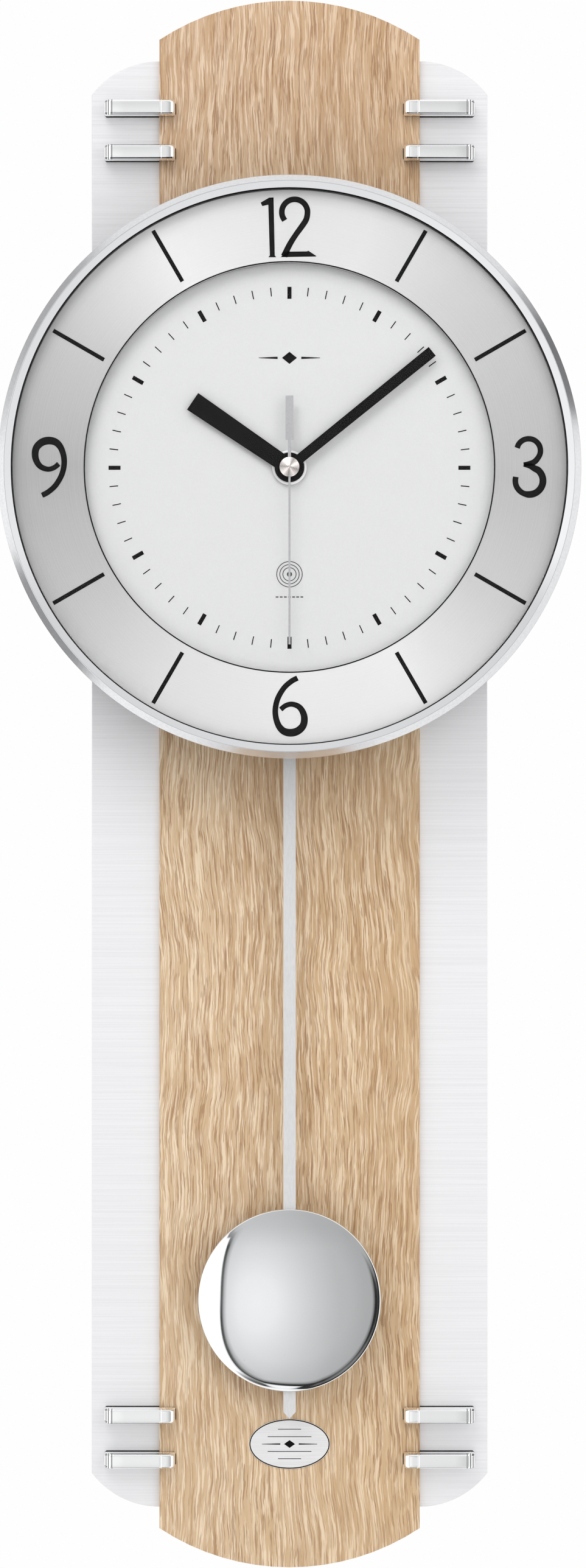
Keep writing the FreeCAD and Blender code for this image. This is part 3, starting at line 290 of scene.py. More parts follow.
def brushed_stroke(points):
    """A pen stroke through (u, v, width) points, as joined four-sided outlines."""
    run = along(points, 8)
    weight = settings().sizes.stroke_weight
    left = []
    right = []
    for index, (u, v, width) in enumerate(run):
        before = run[max(index - 1, 0)]
        after = run[min(index + 1, len(run) - 1)]
        heading = Vector((after[0] - before[0], after[1] - before[1])).normalized()
        side = Vector((-heading.y, heading.x)) * width * weight / 2
        left.append((u + side.x, v + side.y))
        right.append((u - side.x, v - side.y))
    return [[left[i], left[i + 1], right[i + 1], right[i]] for i in range(len(run) - 1)]


def arc_points(u, v, radius, start, end, width, count):
    """Points on an arc from start to end degrees, counted from the right, upward."""
    points = []
    for step in range(count):
        angle = math.radians(start + (end - start) * step / (count - 1))
        points.append((u + radius * math.cos(angle), v + radius * math.sin(angle), width))
    return points


def band_outlines(radius, width, u=0.0, v=0.0, pieces=96):
    """A printed circle line as short joined quads."""
    outlines = []
    inner = radius - width / 2
    outer = radius + width / 2
    for step in range(pieces):
        a = 2 * math.pi * step / pieces
        b = 2 * math.pi * (step + 1) / pieces
        outlines.append([(u + inner * math.sin(a), v + inner * math.cos(a)),
                         (u + outer * math.sin(a), v + outer * math.cos(a)),
                         (u + outer * math.sin(b), v + outer * math.cos(b)),
                         (u + inner * math.sin(b), v + inner * math.cos(b))])
    return outlines


# ---- node helpers ----------------------------------------------------------------------
def feed(tree, socket, value):
    """Link another socket to this one, or set a plain value on it."""
    if isinstance(value, bpy.types.NodeSocket):
        tree.links.new(value, socket)
    else:
        socket.default_value = value


def node(tree, kind, inputs=None, **choices):
    made = tree.nodes.new("ShaderNode" + kind)
    for name, value in choices.items():
        setattr(made, name, value)
    for key, value in (inputs or {}).items():
        feed(tree, made.inputs[key], value)
    return made


def calc(tree, operation, *values):
    """One step of arithmetic on sockets and plain numbers."""
    return node(tree, "Math", dict(enumerate(values)), operation=operation).outputs[0]


def ranged(tree, value, from_low, from_high, to_low=0.0, to_high=1.0):
    """Spread one range of a value over another, held at both ends."""
    return node(tree, "MapRange", {"Value": value, "From Min": from_low,
                                   "From Max": from_high, "To Min": to_low,
                                   "To Max": to_high}).outputs[0]


def scaled(tree, value, low, high):
    """A 0 to 1 value spread between low and high."""
    return ranged(tree, value, 0.0, 1.0, low, high)


def axis(tree, vector, name):
    """One of a vector's three parts."""
    return node(tree, "SeparateXYZ", {0: vector}).outputs[name]


def group_tree(name, inputs, outputs):
    tree = bpy.data.node_groups.new(name, "ShaderNodeTree")
    for label, kind, default in inputs:
        socket = tree.interface.new_socket(label, in_out="INPUT",
                                           socket_type="NodeSocket" + kind)
        socket.default_value = default
    for label, kind in outputs:
        tree.interface.new_socket(label, in_out="OUTPUT", socket_type="NodeSocket" + kind)
    return tree, tree.nodes.new("NodeGroupInput"), tree.nodes.new("NodeGroupOutput")


def use_group(tree, name, inputs):
    made = tree.nodes.new("ShaderNodeGroup")
    made.node_tree = bpy.data.node_groups[name]
    for key, value in inputs.items():
        feed(tree, made.inputs[key], value)
    return made


def streaks(tree, vector, cells, seed, low=0.4, high=0.6):
    """Stretched noise placed in a tree: its group has a mask and a plain value."""
    return use_group(tree, "Stretched Noise", {"Vector": vector, "Cells": cells,
                                               "Seed": seed, "Low": low, "High": high})


def make_stretched_noise():
    """Noise with its own number of cells a metre each way, cut to a mask."""
    tree, given, result = group_tree(
        "Stretched Noise",
        [("Vector", "Vector", (0, 0, 0)), ("Cells", "Vector", (100, 100, 100)),
         ("Seed", "Float", 0.0), ("Low", "Float", 0.4), ("High", "Float", 0.6)],
        [("Mask", "Float"), ("Value", "Float")])
    spread = node(tree, "VectorMath", {0: given.outputs["Vector"],
                                       1: given.outputs["Cells"]}, operation="MULTIPLY")
    shift = node(tree, "CombineXYZ", {i: given.outputs["Seed"] for i in range(3)})
    moved = node(tree, "VectorMath", {0: spread.outputs[0], 1: shift.outputs[0]})
    noise = node(tree, "TexNoise", {"Vector": moved.outputs[0], "Scale": 1.0,
                                    "Detail": 2.5, "Roughness": 0.55})
    cut = node(tree, "MapRange", {"Value": noise.outputs["Fac"],
                                  "From Min": given.outputs["Low"],
                                  "From Max": given.outputs["High"]},
               interpolation_type="SMOOTHSTEP")
    tree.links.new(cut.outputs[0], result.inputs["Mask"])
    tree.links.new(noise.outputs["Fac"], result.inputs["Value"])


def make_clock_turn():
    """Turn round a depth axis from the top, clockwise, 0 to 1, and distance from it."""
    tree, given, result = group_tree(
        "Clock Turn", [("Vector", "Vector", (0, 0, 0)), ("Centre height", "Float", 0.0)],
        [("Turn", "Float"), ("Radius", "Float")])
    aside = axis(tree, given.outputs["Vector"], "X")
    height = calc(tree, "SUBTRACT", axis(tree, given.outputs["Vector"], "Z"),
                  given.outputs["Centre height"])
    turn = ranged(tree, calc(tree, "ARCTAN2", aside, height), -math.pi, math.pi, -0.5, 0.5)
    wrapped = calc(tree, "WRAP", turn, 1.0, 0.0)
    flat = node(tree, "CombineXYZ", {0: aside, 1: height})
    far = node(tree, "VectorMath", {0: flat.outputs[0]}, operation="LENGTH")
    tree.links.new(wrapped, result.inputs["Turn"])
    tree.links.new(far.outputs["Value"], result.inputs["Radius"])


def make_handling_marks():
    """Faint smears and specks that come from being handled and dusted."""
    tree, given, result = group_tree(
        "Handling Marks", [("Vector", "Vector", (0, 0, 0)), ("Seed", "Float", 0.0)],
        [("Smear", "Float"), ("Speck", "Float")])
    smear = streaks(tree, given.outputs["Vector"], (38, 38, 24), given.outputs["Seed"],
                    0.45, 0.75)
    speck = streaks(tree, given.outputs["Vector"], (900, 900, 900), given.outputs["Seed"],
                    0.70, 0.80)
    tree.links.new(smear.outputs["Mask"], result.inputs["Smear"])
    tree.links.new(speck.outputs["Mask"], result.inputs["Speck"])


def mix_colours(tree, factor, first, second, blend="MIX"):
    mixed = node(tree, "Mix", {0: factor}, data_type="RGBA", blend_type=blend,
                 clamp_result=False)
    for key, value in ((6, first), (7, second)):
        plain = not isinstance(value, bpy.types.NodeSocket)
        feed(tree, mixed.inputs[key], (*value, 1.0) if plain else value)
    return mixed.outputs[2]


def start_material(name, metallic=0.0):
    material = bpy.data.materials.new(name)
    material.use_nodes = True
    tree = material.node_tree
    shader = tree.nodes["Principled BSDF"]
    shader.inputs["Metallic"].default_value = metallic
    position = node(tree, "TexCoord").outputs["Object"]
    return material, tree, shader, position


def raise_surface(tree, shader, height, millimetres, strength=1.0):
    bump = node(tree, "Bump", {"Height": height, "Distance": millimetres * MM,
                               "Strength": strength})
    tree.links.new(bump.outputs[0], shader.inputs["Normal"])


MATERIALS = {}


def make_grained(name, ground, roughness, metallic=0.0, cells=(2600, 2600, 2600),
                 relief=0.015, spread=0.12, seed=0.0, sheen=0.5):
    """Moulded, painted, plated or raw finish with its own fine grain and smears."""
    material, tree, shader, position = start_material(name, metallic)
    shader.inputs["Specular IOR Level"].default_value = sheen
    grain = streaks(tree, position, cells, seed, 0.35, 0.65)
    marks = use_group(tree, "Handling Marks", {"Vector": position, "Seed": seed + 3.0})
    darker = tuple(channel * (1 - spread) for channel in ground)
    paler = tuple(min(channel * (1 + spread), 1.0) for channel in ground)
    tone = mix_colours(tree, grain.outputs["Mask"], darker, paler)
    dust = tuple(0.6 * channel + 0.12 for channel in ground)
    tone = mix_colours(tree, scaled(tree, marks.outputs["Speck"], 0.0, 0.05), tone, dust)
    tree.links.new(tone, shader.inputs["Base Color"])
    tree.links.new(scaled(tree, marks.outputs["Smear"], roughness, roughness + 0.08),
                   shader.inputs["Roughness"])
    raise_surface(tree, shader, grain.outputs["Value"], relief)
    MATERIALS[name] = material
    return material


def make_oak():
    """Light oak with upright figure: tone bands, cream fibres and short dark pores."""
    colours = settings().colours
    material, tree, shader, position = start_material("oak")
    def wander(cells, seed, reach):
        """Drift of the grain to the left and right, in metres."""
        noise = streaks(tree, position, cells, seed)
        return ranged(tree, noise.outputs["Value"], 0.3, 0.7, -reach, reach)

    drift = calc(tree, "ADD", wander((9, 9, 9), 4.0, 0.004),
                 wander((60, 60, 90), 9.0, 0.00025))
    offset = node(tree, "CombineXYZ", {0: drift})
    grain = node(tree, "VectorMath", {0: position, 1: offset.outputs[0]}).outputs[0]

    def strokes(cells, seed, low, high):
        return streaks(tree, grain, cells, seed, low, high).outputs["Mask"]

    bands = strokes((55, 55, 3), 1.0, 0.30, 0.70)
    lines = strokes((520, 520, 7), 2.0, 0.35, 0.70)
    cream = strokes((1500, 1500, 60), 6.0, 0.50, 0.58)
    pores = strokes((1800, 1800, 80), 8.0, 0.54, 0.60)
    dense = strokes((26, 26, 7), 12.0, 0.36, 0.62)
    long_pores = strokes((1300, 1300, 14), 15.0, 0.58, 0.63)

    ground = mix_colours(tree, scaled(tree, bands, 0.0, 0.36), colours.oak_light,
                         colours.oak_dark)
    ground = mix_colours(tree, scaled(tree, lines, 0.0, 0.22), ground, colours.oak_cream)
    ground = mix_colours(tree, scaled(tree, cream, 0.0, 0.66), ground, colours.oak_cream)
    thick = calc(tree, "MULTIPLY", pores, scaled(tree, dense, 0.36, 0.60))
    ground = mix_colours(tree, thick, ground, colours.oak_pore)
    ground = mix_colours(tree, scaled(tree, long_pores, 0.0, 0.30), ground,
                         colours.oak_pore)
    upper = ranged(tree, axis(tree, position, "Z"), -0.30, 0.02)
    ground = mix_colours(tree, upper, ground, (0.93, 0.89, 0.90), "MULTIPLY")
    right = ranged(tree, axis(tree, position, "X"), -0.02, 0.045)
    ground = mix_colours(tree, right, ground, (0.94, 0.905, 0.85), "MULTIPLY")
    tree.links.new(ground, shader.inputs["Base Color"])
    tree.links.new(scaled(tree, cream, 0.46, 0.56), shader.inputs["Roughness"])
    raise_surface(tree, shader, calc(tree, "SUBTRACT", cream, thick), 0.05, 0.6)
    MATERIALS["oak"] = material


def make_brushed_aluminium():
    """Strips brushed across, with fine level streaks that fade down the strip."""
    material, tree, shader, position = start_material("brushed_aluminium", 0.30)
    fine = streaks(tree, position, (14, 14, 2600), 2.0, 0.3, 0.7)
    broad = streaks(tree, position, (30, 30, 1100), 5.0, 0.52, 0.72)
    upper = ranged(tree, axis(tree, position, "Z"), -0.22, 0.0, 0.15, 1.0)
    base = settings().colours.aluminium
    darker = tuple(channel * 0.93 for channel in base)
    tone = mix_colours(tree, fine.outputs["Mask"], darker, base)
    streak = calc(tree, "MULTIPLY", broad.outputs["Mask"], upper)
    tone = mix_colours(tree, scaled(tree, streak, 0.0, 0.16), tone, (0.62, 0.62, 0.63))
    tree.links.new(tone, shader.inputs["Base Color"])
    tree.links.new(scaled(tree, fine.outputs["Mask"], 0.36, 0.44),
                   shader.inputs["Roughness"])
    raise_surface(tree, shader, fine.outputs["Value"], 0.004, 0.4)
    MATERIALS["brushed_aluminium"] = material


def stops_on(ramp, stops):
    """Fill a colour ramp with (place, grey or colour) stops."""
    elements = ramp.color_ramp.elements
    while len(elements) > 1:
        elements.remove(elements[-1])
    for index, (at, value) in enumerate(stops):
        element = elements[0] if index == 0 else elements.new(at)
        element.position = at
        value = value if isinstance(value, tuple) else (value, value, value)
        element.color = (*value, 1.0)


def make_spun_painted_sheen(name, stops, metallic, roughness, tint=(1.0, 1.0, 1.0)):
    """Metal spun about the dial's axis: painted sheen that lightens and darkens by the
    turn round the axis, and fine lathe rings.
    """
    material, tree, shader, position = start_material(name, metallic)
    turn = use_group(tree, "Clock Turn", {"Vector": position, "Centre height": DIAL_Z})
    # Painted sheen: this ramp lightens and darkens the base colour by the turn round the
    # dial's axis.
    painted_sheen_ramp = node(tree, "ValToRGB", {0: turn.outputs["Turn"]})
    stops_on(painted_sheen_ramp, stops)
    rings = node(tree, "CombineXYZ", {0: turn.outputs["Radius"], 1: 0.0, 2: 0.0})
    lathe_lines = streaks(tree, rings.outputs[0], (2400, 1, 1), 7.0, 0.3, 0.7)
    tone = mix_colours(tree, scaled(tree, lathe_lines.outputs["Mask"], 0.0, 0.06),
                       painted_sheen_ramp.outputs[0], (1.0, 1.0, 1.0))
    tone = mix_colours(tree, 1.0, tone, tint, "MULTIPLY")
    tree.links.new(tone, shader.inputs["Base Color"])
    tree.links.new(scaled(tree, lathe_lines.outputs["Mask"], roughness, roughness + 0.08),
                   shader.inputs["Roughness"])
    raise_surface(tree, shader, lathe_lines.outputs["Value"], 0.006, 0.4)
    MATERIALS[name] = material


def make_mirror(name, base, roughness, smear, seed):
    """Bright plated metal with the faintest smears."""
    material, tree, shader, position = start_material(name, 1.0)
    marks = use_group(tree, "Handling Marks", {"Vector": position, "Seed": seed})
    duller = tuple(channel * 0.93 for channel in base)
    tone = mix_colours(tree, marks.outputs["Speck"], base, duller)
    tree.links.new(tone, shader.inputs["Base Color"])
    tree.links.new(scaled(tree, marks.outputs["Smear"], roughness, roughness + smear),
                   shader.inputs["Roughness"])
    MATERIALS[name] = material


def make_glass():
    """Clear flat glass that lets the lamps reach the dial."""
    material, tree, shader, position = start_material("clear_glass")
    shader.inputs["Base Color"].default_value = (1.0, 1.0, 1.0, 1.0)
    shader.inputs["IOR"].default_value = 1.12
    shader.inputs["Transmission Weight"].default_value = 1.0
    marks = use_group(tree, "Handling Marks", {"Vector": position, "Seed": 21.0})
    tree.links.new(scaled(tree, marks.outputs["Smear"], 0.0, 0.015),
                   shader.inputs["Roughness"])
    path = node(tree, "LightPath")
    clear = node(tree, "BsdfTransparent")
    shown = node(tree, "MixShader", {0: path.outputs["Is Shadow Ray"],
                                     1: shader.outputs[0], 2: clear.outputs[0]})
    tree.links.new(shown.outputs[0], tree.nodes["Material Output"].inputs["Surface"])
    MATERIALS["clear_glass"] = material


def make_wound(name, base, pitch):
    """Enamelled wire in close turns across the coil."""
    material, tree, shader, position = start_material(name, 0.8)
    turns = node(tree, "TexWave", {"Vector": position, "Scale": 1.0 / (pitch * MM) / 20,
                                   "Distortion": 0.4}, wave_type="BANDS",
                 bands_direction="X")
    tone = mix_colours(tree, turns.outputs["Fac"], tuple(c * 0.6 for c in base), base)
    tree.links.new(tone, shader.inputs["Base Color"])
    tree.links.new(scaled(tree, turns.outputs["Fac"], 0.45, 0.3),
                   shader.inputs["Roughness"])
    raise_surface(tree, shader, turns.outputs["Fac"], 0.05)
    MATERIALS[name] = material


CELL_HALF_LENGTH = 0.0255


def make_cell():
    """Printed steel can of the cell: plain bands along its length."""
    material, tree, shader, position = start_material("battery_case", 0.4)
    share = ranged(tree, axis(tree, position, "X"), -CELL_HALF_LENGTH, CELL_HALF_LENGTH)
    bands = node(tree, "ValToRGB", {0: share})
    bands.color_ramp.interpolation = "CONSTANT"
    stops_on(bands, [(0.0, (0.55, 0.55, 0.56)), (0.03, (0.03, 0.035, 0.045)),
                     (0.70, (0.55, 0.33, 0.12)), (0.965, (0.55, 0.55, 0.56))])
    marks = use_group(tree, "Handling Marks", {"Vector": position, "Seed": 31.0})
    tree.links.new(bands.outputs[0], shader.inputs["Base Color"])
    tree.links.new(scaled(tree, marks.outputs["Smear"], 0.22, 0.34),
                   shader.inputs["Roughness"])
    MATERIALS["battery_case"] = material


def make_finishes():
    colours = settings().colours
    make_stretched_noise()
    make_clock_turn()
    make_handling_marks()
    make_oak()
    make_brushed_aluminium()
    make_glass()
    make_cell()
    make_wound("copper_wire", (0.62, 0.25, 0.10), 0.15)
    # The stops below for the ring, cap and nut are painted sheen: lighter and darker by
    # the turn round the dial's axis.
    make_spun_painted_sheen("ring_silver", [(0.0, 0.511), (0.05, 0.527), (0.12, 0.425), (0.2, 0.358),
                              (0.26, 0.332), (0.34, 0.408), (0.42, 0.578), (0.5, 0.562),
                              (0.58, 0.511), (0.66, 0.367), (0.75, 0.29), (0.84, 0.392),
                              (0.92, 0.578), (1.0, 0.511)], 0.15, 0.42)
    make_spun_painted_sheen("cap_spun", [(0.0, 0.9), (0.08, 0.35), (0.17, 0.9), (0.30, 0.25),
                           (0.42, 0.85), (0.52, 0.3), (0.62, 0.95), (0.76, 0.3),
                           (0.88, 0.8), (1.0, 0.9)], 0.85, 0.22,
              tint=(1.0, 0.93, 0.90))
    make_spun_painted_sheen("nut_nickel", [(0.0, 0.75), (0.2, 0.6), (0.45, 0.8), (0.7, 0.55),
                             (1.0, 0.75)], 0.5, 0.35)
    make_mirror("chrome", colours.chrome, 0.02, 0.03, 11.0)
    make_mirror("clip_chrome", (0.96, 0.965, 0.97), 0.02, 0.02, 12.0)
    # Near-black groove faces of the clips: painted shade and painted dark reflection in
    # the grooves.
    make_grained("clip_groove_painted_shade", (0.05, 0.05, 0.055), 0.4, 0.5, relief=0.004)
    make_mirror("bezel_polish", (0.70, 0.705, 0.72), 0.07, 0.04, 13.0)
    make_grained("bezel_silver", (0.74, 0.745, 0.76), 0.18, 0.85, (900, 900, 900), 0.002,
                 0.03, 14.0)
    make_grained("black_board", (0.022, 0.022, 0.022), 0.55, relief=0.02)
    make_grained("batten_wood", (0.36, 0.25, 0.15), 0.75, cells=(1200, 1200, 600),
                 relief=0.05, spread=0.25)
    make_grained("zinc_steel", (0.60, 0.61, 0.63), 0.32, 0.9, (700, 700, 700), 0.006,
                 0.06)
    make_grained("pad_rubber", (0.03, 0.03, 0.03), 0.75, relief=0.03)
    make_grained("plate_white", (0.80, 0.80, 0.80), 0.35, 0.25, (60, 60, 1800), 0.004,
                 0.03)
    make_grained("case_black", colours.case, 0.5, relief=0.03)
    # Near-black: the gasket's own colour, and also used for the clips' painted contact
    # shadow sheets.
    make_grained("seal_black", (0.008, 0.008, 0.008), 0.6)
    make_grained("spacer_grey", (0.55, 0.55, 0.55), 0.5)
    make_grained("dial_white", colours.dial, 0.5, 0.0, (1800, 1800, 1800), 0.004, 0.012)
    make_grained("movement_plastic", (0.035, 0.035, 0.038), 0.5, relief=0.03)
    make_grained("gear_plastic", (0.78, 0.76, 0.68), 0.4, relief=0.01, spread=0.05)
    make_grained("circuit_green", (0.02, 0.16, 0.06), 0.3, cells=(500, 500, 500),
                 spread=0.2)
    make_grained("ferrite_dark", (0.05, 0.05, 0.055), 0.6, 0.3, relief=0.04, spread=0.2)
    make_grained("button_grey", (0.30, 0.30, 0.31), 0.45)
    make_grained("hand_black", (0.006, 0.006, 0.006), 0.42, 0.0, (1500, 1500, 1500), 0.004,
                 sheen=0.04)
    make_grained("hand_grey", (0.36, 0.36, 0.37), 0.35, 0.4, (1500, 1500, 1500), 0.004,
                 0.04)
    make_grained("rod_white", (0.69, 0.685, 0.68), 0.38, 0.2, (1400, 1400, 300), 0.006,
                 0.03)
    make_grained("ink", colours.ink, 0.45, 0.0, (2200, 2200, 2200), 0.002, 0.1,
                 sheen=0.04)
    make_grained("pale_ink", (0.02, 0.02, 0.02), 0.45, 0.0, (2200, 2200, 2200), 0.002,
                 0.1)


# ---- pieces ----------------------------------------------------------------------------
EDGES = {
    "wood_front_panel": 0.5, "carrier_board": 0.6, "side_panel_left": 0.25,
    "side_panel_right": 0.25, "upper_batten": 0.6, "lower_batten": 0.6,
    "keyhole_hanger": 0.2, "wall_pads": 0.5, "case_standoffs": 0.5, "oval_plate": 0.15,
    "movement_front_housing": 0.4, "movement_rear_cover": 0.4, "pendulum_bracket": 0.2,
    "pendulum_lever": 0.3, "pendulum_rod": 0.15, "bob_strap": 0.2, "hour_hand": 0.08,
    "minute_hand": 0.08, "second_hand": 0.05, "clip_nuts": 0.2, "battery": 0.3,
    "circuit_board": 0.1, "set_button": 0.15, "reset_button": 0.15,
}


def keep_node(name, slot):
    """Give a carried-over node its finish and softened edges."""
    kept = frame["nodes"][name]
    kept.data.materials.clear()
    kept.data.materials.append(MATERIALS[slot])
    if name in EDGES:
        weld = kept.modifiers.new("Weld", "WELD")
        weld.merge_threshold = 0.002 * MM
        edge_softened(kept, EDGES[name], 35.0)


TENT_HALF_WIDTH = 0.577
TENT_HALF_HEIGHT = 0.625
TENT_CENTRE_X = 0.057
TENT_CENTRE_Z = -0.085
LAMP_SIZE = 1.2
LAMP_TARGET = Vector((0.0, 0.0, -0.26))
LAMPS = (("Key", (-0.55, -1.6, 1.15), 12.5), ("Fill", (0.9, -1.7, 0.1), 7.0),
         ("Low fill", (0.0, -1.9, -1.2), 4.0))
CAMERA_PLACE = (0.0015, -2.0, -0.275)
CAMERA_LENS = 104.36


class CLOCK_OT_stage(bpy.types.Operator):
    """Set up the floor, the soft studio light and the camera"""

    bl_idname = "clock.stage"
    bl_label = "Stage"

    def execute(self, context):
        scene = context.scene
        scene.view_settings.view_transform = "Standard"
        world = bpy.data.worlds.new("Studio")
        scene.world = world
        world.use_nodes = True
        tree = world.node_tree
        background = tree.nodes["Background"]
        direction = node(tree, "TexCoord").outputs["Generated"]
        x, y, z = (axis(tree, direction, name) for name in "XYZ")

        def ramp_of(value, low, high, stops):
            made = node(tree, "ValToRGB", {0: ranged(tree, value, low, high)})
            stops_on(made, stops)
            return made.outputs[0]

        def powered(value, power):
            return calc(tree, "POWER", calc(tree, "ABSOLUTE", value), power)

        # The light tent's opening: rounded, a little squarer to the left and taller
        # above, with a dark edge that the bob mirrors.
        across = calc(tree, "MULTIPLY_ADD", x, 1 / TENT_HALF_WIDTH,
                      -TENT_CENTRE_X / TENT_HALF_WIDTH)
        level = calc(tree, "MULTIPLY_ADD", z, 1 / TENT_HALF_HEIGHT,
                     -TENT_CENTRE_Z / TENT_HALF_HEIGHT)
        upward = calc(tree, "MINIMUM", level, calc(tree, "MULTIPLY", level, 0.90))
        squareness = ranged(tree, across, -0.4, 0.3, 2.7, 2.0)
        out = calc(tree, "ADD", powered(across, squareness), powered(upward, squareness))
        rim_left = ramp_of(out, 0.5, 1.5,
                           [(0.0, 1.0), (0.30, 0.95), (0.39, 0.55), (0.43, 0.12),
                            (0.48, 0.05), (0.50, 1.3), (1.0, 1.3)])
        rim_right = ramp_of(out, 0.5, 1.5,
                            [(0.0, 1.0), (0.41, 0.90), (0.455, 0.45), (0.475, 0.05),
                             (0.505, 0.03), (0.52, 1.15), (1.0, 1.15)])
        leaning = calc(tree, "ADD", x, calc(tree, "MULTIPLY", z, -0.6))
        to_right = ranged(tree, leaning, -0.15, 0.25)
        tent = mix_colours(tree, to_right, rim_left, rim_right)
        overhead = ranged(tree, z, 0.30, 0.46)
        tent = mix_colours(tree, overhead, tent, (0.9, 0.9, 0.9))

        # Brightness that falls away from the main lamp's spot on the tent.
        lamp_spot = node(tree, "CombineXYZ", {
            0: calc(tree, "ADD", x, 0.25), 1: calc(tree, "MULTIPLY_ADD", z, 0.75, 0.09)})
        away = node(tree, "VectorMath", {0: lamp_spot.outputs[0]}, operation="LENGTH")
        shade = ramp_of(away.outputs["Value"], 0.0, 1.0,
                        [(0.0, 0.97), (0.15, 0.93), (0.28, 0.81), (0.45, 0.67),
                         (0.63, 0.55), (0.8, 0.50), (1.0, 0.50)])
        side_walls = ramp_of(z, -1.0, 1.0,
                             [(0.0, 0.05), (0.012, 0.08), (0.02, 0.95), (0.3, 0.90),
                              (0.5, 0.95), (0.95, 1.1), (1.0, 1.15)])
        outside = ranged(tree, out, 0.97, 1.03)
        shade = mix_colours(tree, outside, shade, side_walls)
        studio = mix_colours(tree, 1.0, tent, shade, "MULTIPLY")

        # Black flags beside and behind the clock, for the bezel's slope to mirror.
        turn = use_group(tree, "Clock Turn", {"Vector": direction})
        flags = node(tree, "ValToRGB", {0: turn.outputs["Turn"]})
        stops_on(flags, [(0.0, 1.0), (0.128, 1.0), (0.138, 0.50), (0.150, 0.42),
                         (0.158, 0.10), (0.207, 0.12), (0.215, 1.0), (0.62, 1.0),
                         (0.64, 0.25), (0.70, 0.25), (0.715, 1.0), (0.77, 0.95),
                         (0.80, 0.55), (0.88, 0.45), (0.90, 1.0), (1.0, 1.0)])
        flagged = mix_colours(tree, 1.0, studio, flags.outputs[0], "MULTIPLY")
        behind = ranged(tree, y, 0.0, 0.15)
        studio = mix_colours(tree, behind, studio, flagged)
        grazing = ranged(tree, y, 0.75, 0.95)
        studio = mix_colours(tree, grazing, studio, (0.12, 0.12, 0.125))
        path = node(tree, "LightPath")
        lit = mix_colours(tree, path.outputs["Is Glossy Ray"], (0.70, 0.70, 0.71), studio)
        seen = mix_colours(tree, path.outputs["Is Camera Ray"], lit, (0.99, 0.99, 0.99))
        tree.links.new(seen, background.inputs["Color"])

        for name, at, watts in LAMPS:
            light = bpy.data.lights.new(name, "AREA")
            light.size = LAMP_SIZE
            light.energy = watts
            lamp = bpy.data.objects.new(name, light)
            lamp.location = at
            aim = LAMP_TARGET - Vector(at)
            lamp.rotation_euler = aim.to_track_quat("-Z", "Y").to_euler()
            lamp.visible_camera = False
            lamp.visible_glossy = False
            scene.collection.objects.link(lamp)

        bm = bmesh.new()
        bmesh.ops.create_circle(bm, cap_ends=True, segments=96, radius=1.5)
        floor = finished("studio_floor", bm, make_grained(
            "floor_paper", (0.9, 0.9, 0.9), 0.8, 0.0, (300, 300, 300), 0.05, 0.01),
            smooth=False)
        floor.location = (0.0, 0.0, -1.0)
        floor.visible_glossy = False

        camera = bpy.data.cameras.new("Camera")
        camera.lens = CAMERA_LENS
        camera.sensor_width = 36.0
        camera.sensor_fit = "AUTO"
        camera.clip_end = 50.0
        eye = bpy.data.objects.new("Camera", camera)
        eye.location = CAMERA_PLACE
        eye.rotation_euler = (math.radians(90.0), 0.0, 0.0)
        scene.collection.objects.link(eye)
        scene.camera = eye
        return {"FINISHED"}


class CLOCK_OT_carried_nodes(bpy.types.Operator):
    """Give the panels, boards, screws and movement their finishes and softened edges"""

    bl_idname = "clock.carried_nodes"
    bl_label = "Panels, boards and movement"

    def execute(self, context):
        make_finishes()
        for part in frame["record"]["subparts"]:
            keep_node(part["node"], part["material_slot"])
        return {"FINISHED"}


STRIP_CORNER_DROP = 14.7
STRIP_CORNER_STEPS = 24


class CLOCK_OT_side_strips(bpy.types.Operator):
    """Cut the two aluminium strips with their rounded outer corners"""

    bl_idname = "clock.side_strips"
    bl_label = "Aluminium strips"

    def execute(self, context):
        start = half_width("wood_front_panel")
        for name, side in (("side_panel_left", -1), ("side_panel_right", 1)):
            low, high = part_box(name)
            top = high[2] / MM
            foot = low[2] / MM
            inner, outer = sorted((abs(low[0]) / MM, abs(high[0]) / MM))
            rear, front = depths_of(name)
            reach = outer - start
            drop = STRIP_CORNER_DROP
            radius = (reach ** 2 + drop ** 2) / (2 * drop)
            bend = []
            for step in range(STRIP_CORNER_STEPS + 1):
                run = reach * step / STRIP_CORNER_STEPS
                bend.append((start + run, radius - math.sqrt(radius ** 2 - run ** 2)))
            outline = [(inner, top)] + [(x, top - fall) for x, fall in bend]
            outline += [(x, foot + fall) for x, fall in bend[::-1]] + [(inner, foot)]
            bm = bmesh.new()
            prism(bm, outline, side, front, rear)
            strip = finished(name.replace("panel", "strip"), bm,
                             MATERIALS["brushed_aluminium"])
            edge_softened(strip, 0.25, 40.0)
            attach(strip, "root")
            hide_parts(name)
        return {"FINISHED"}


BEZEL_FOLD = 4.0
BEZEL_OUTER_SLOPE = 2.8
BEZEL_INNER_SLOPE = 2.9
BEZEL_WALL = 1.5


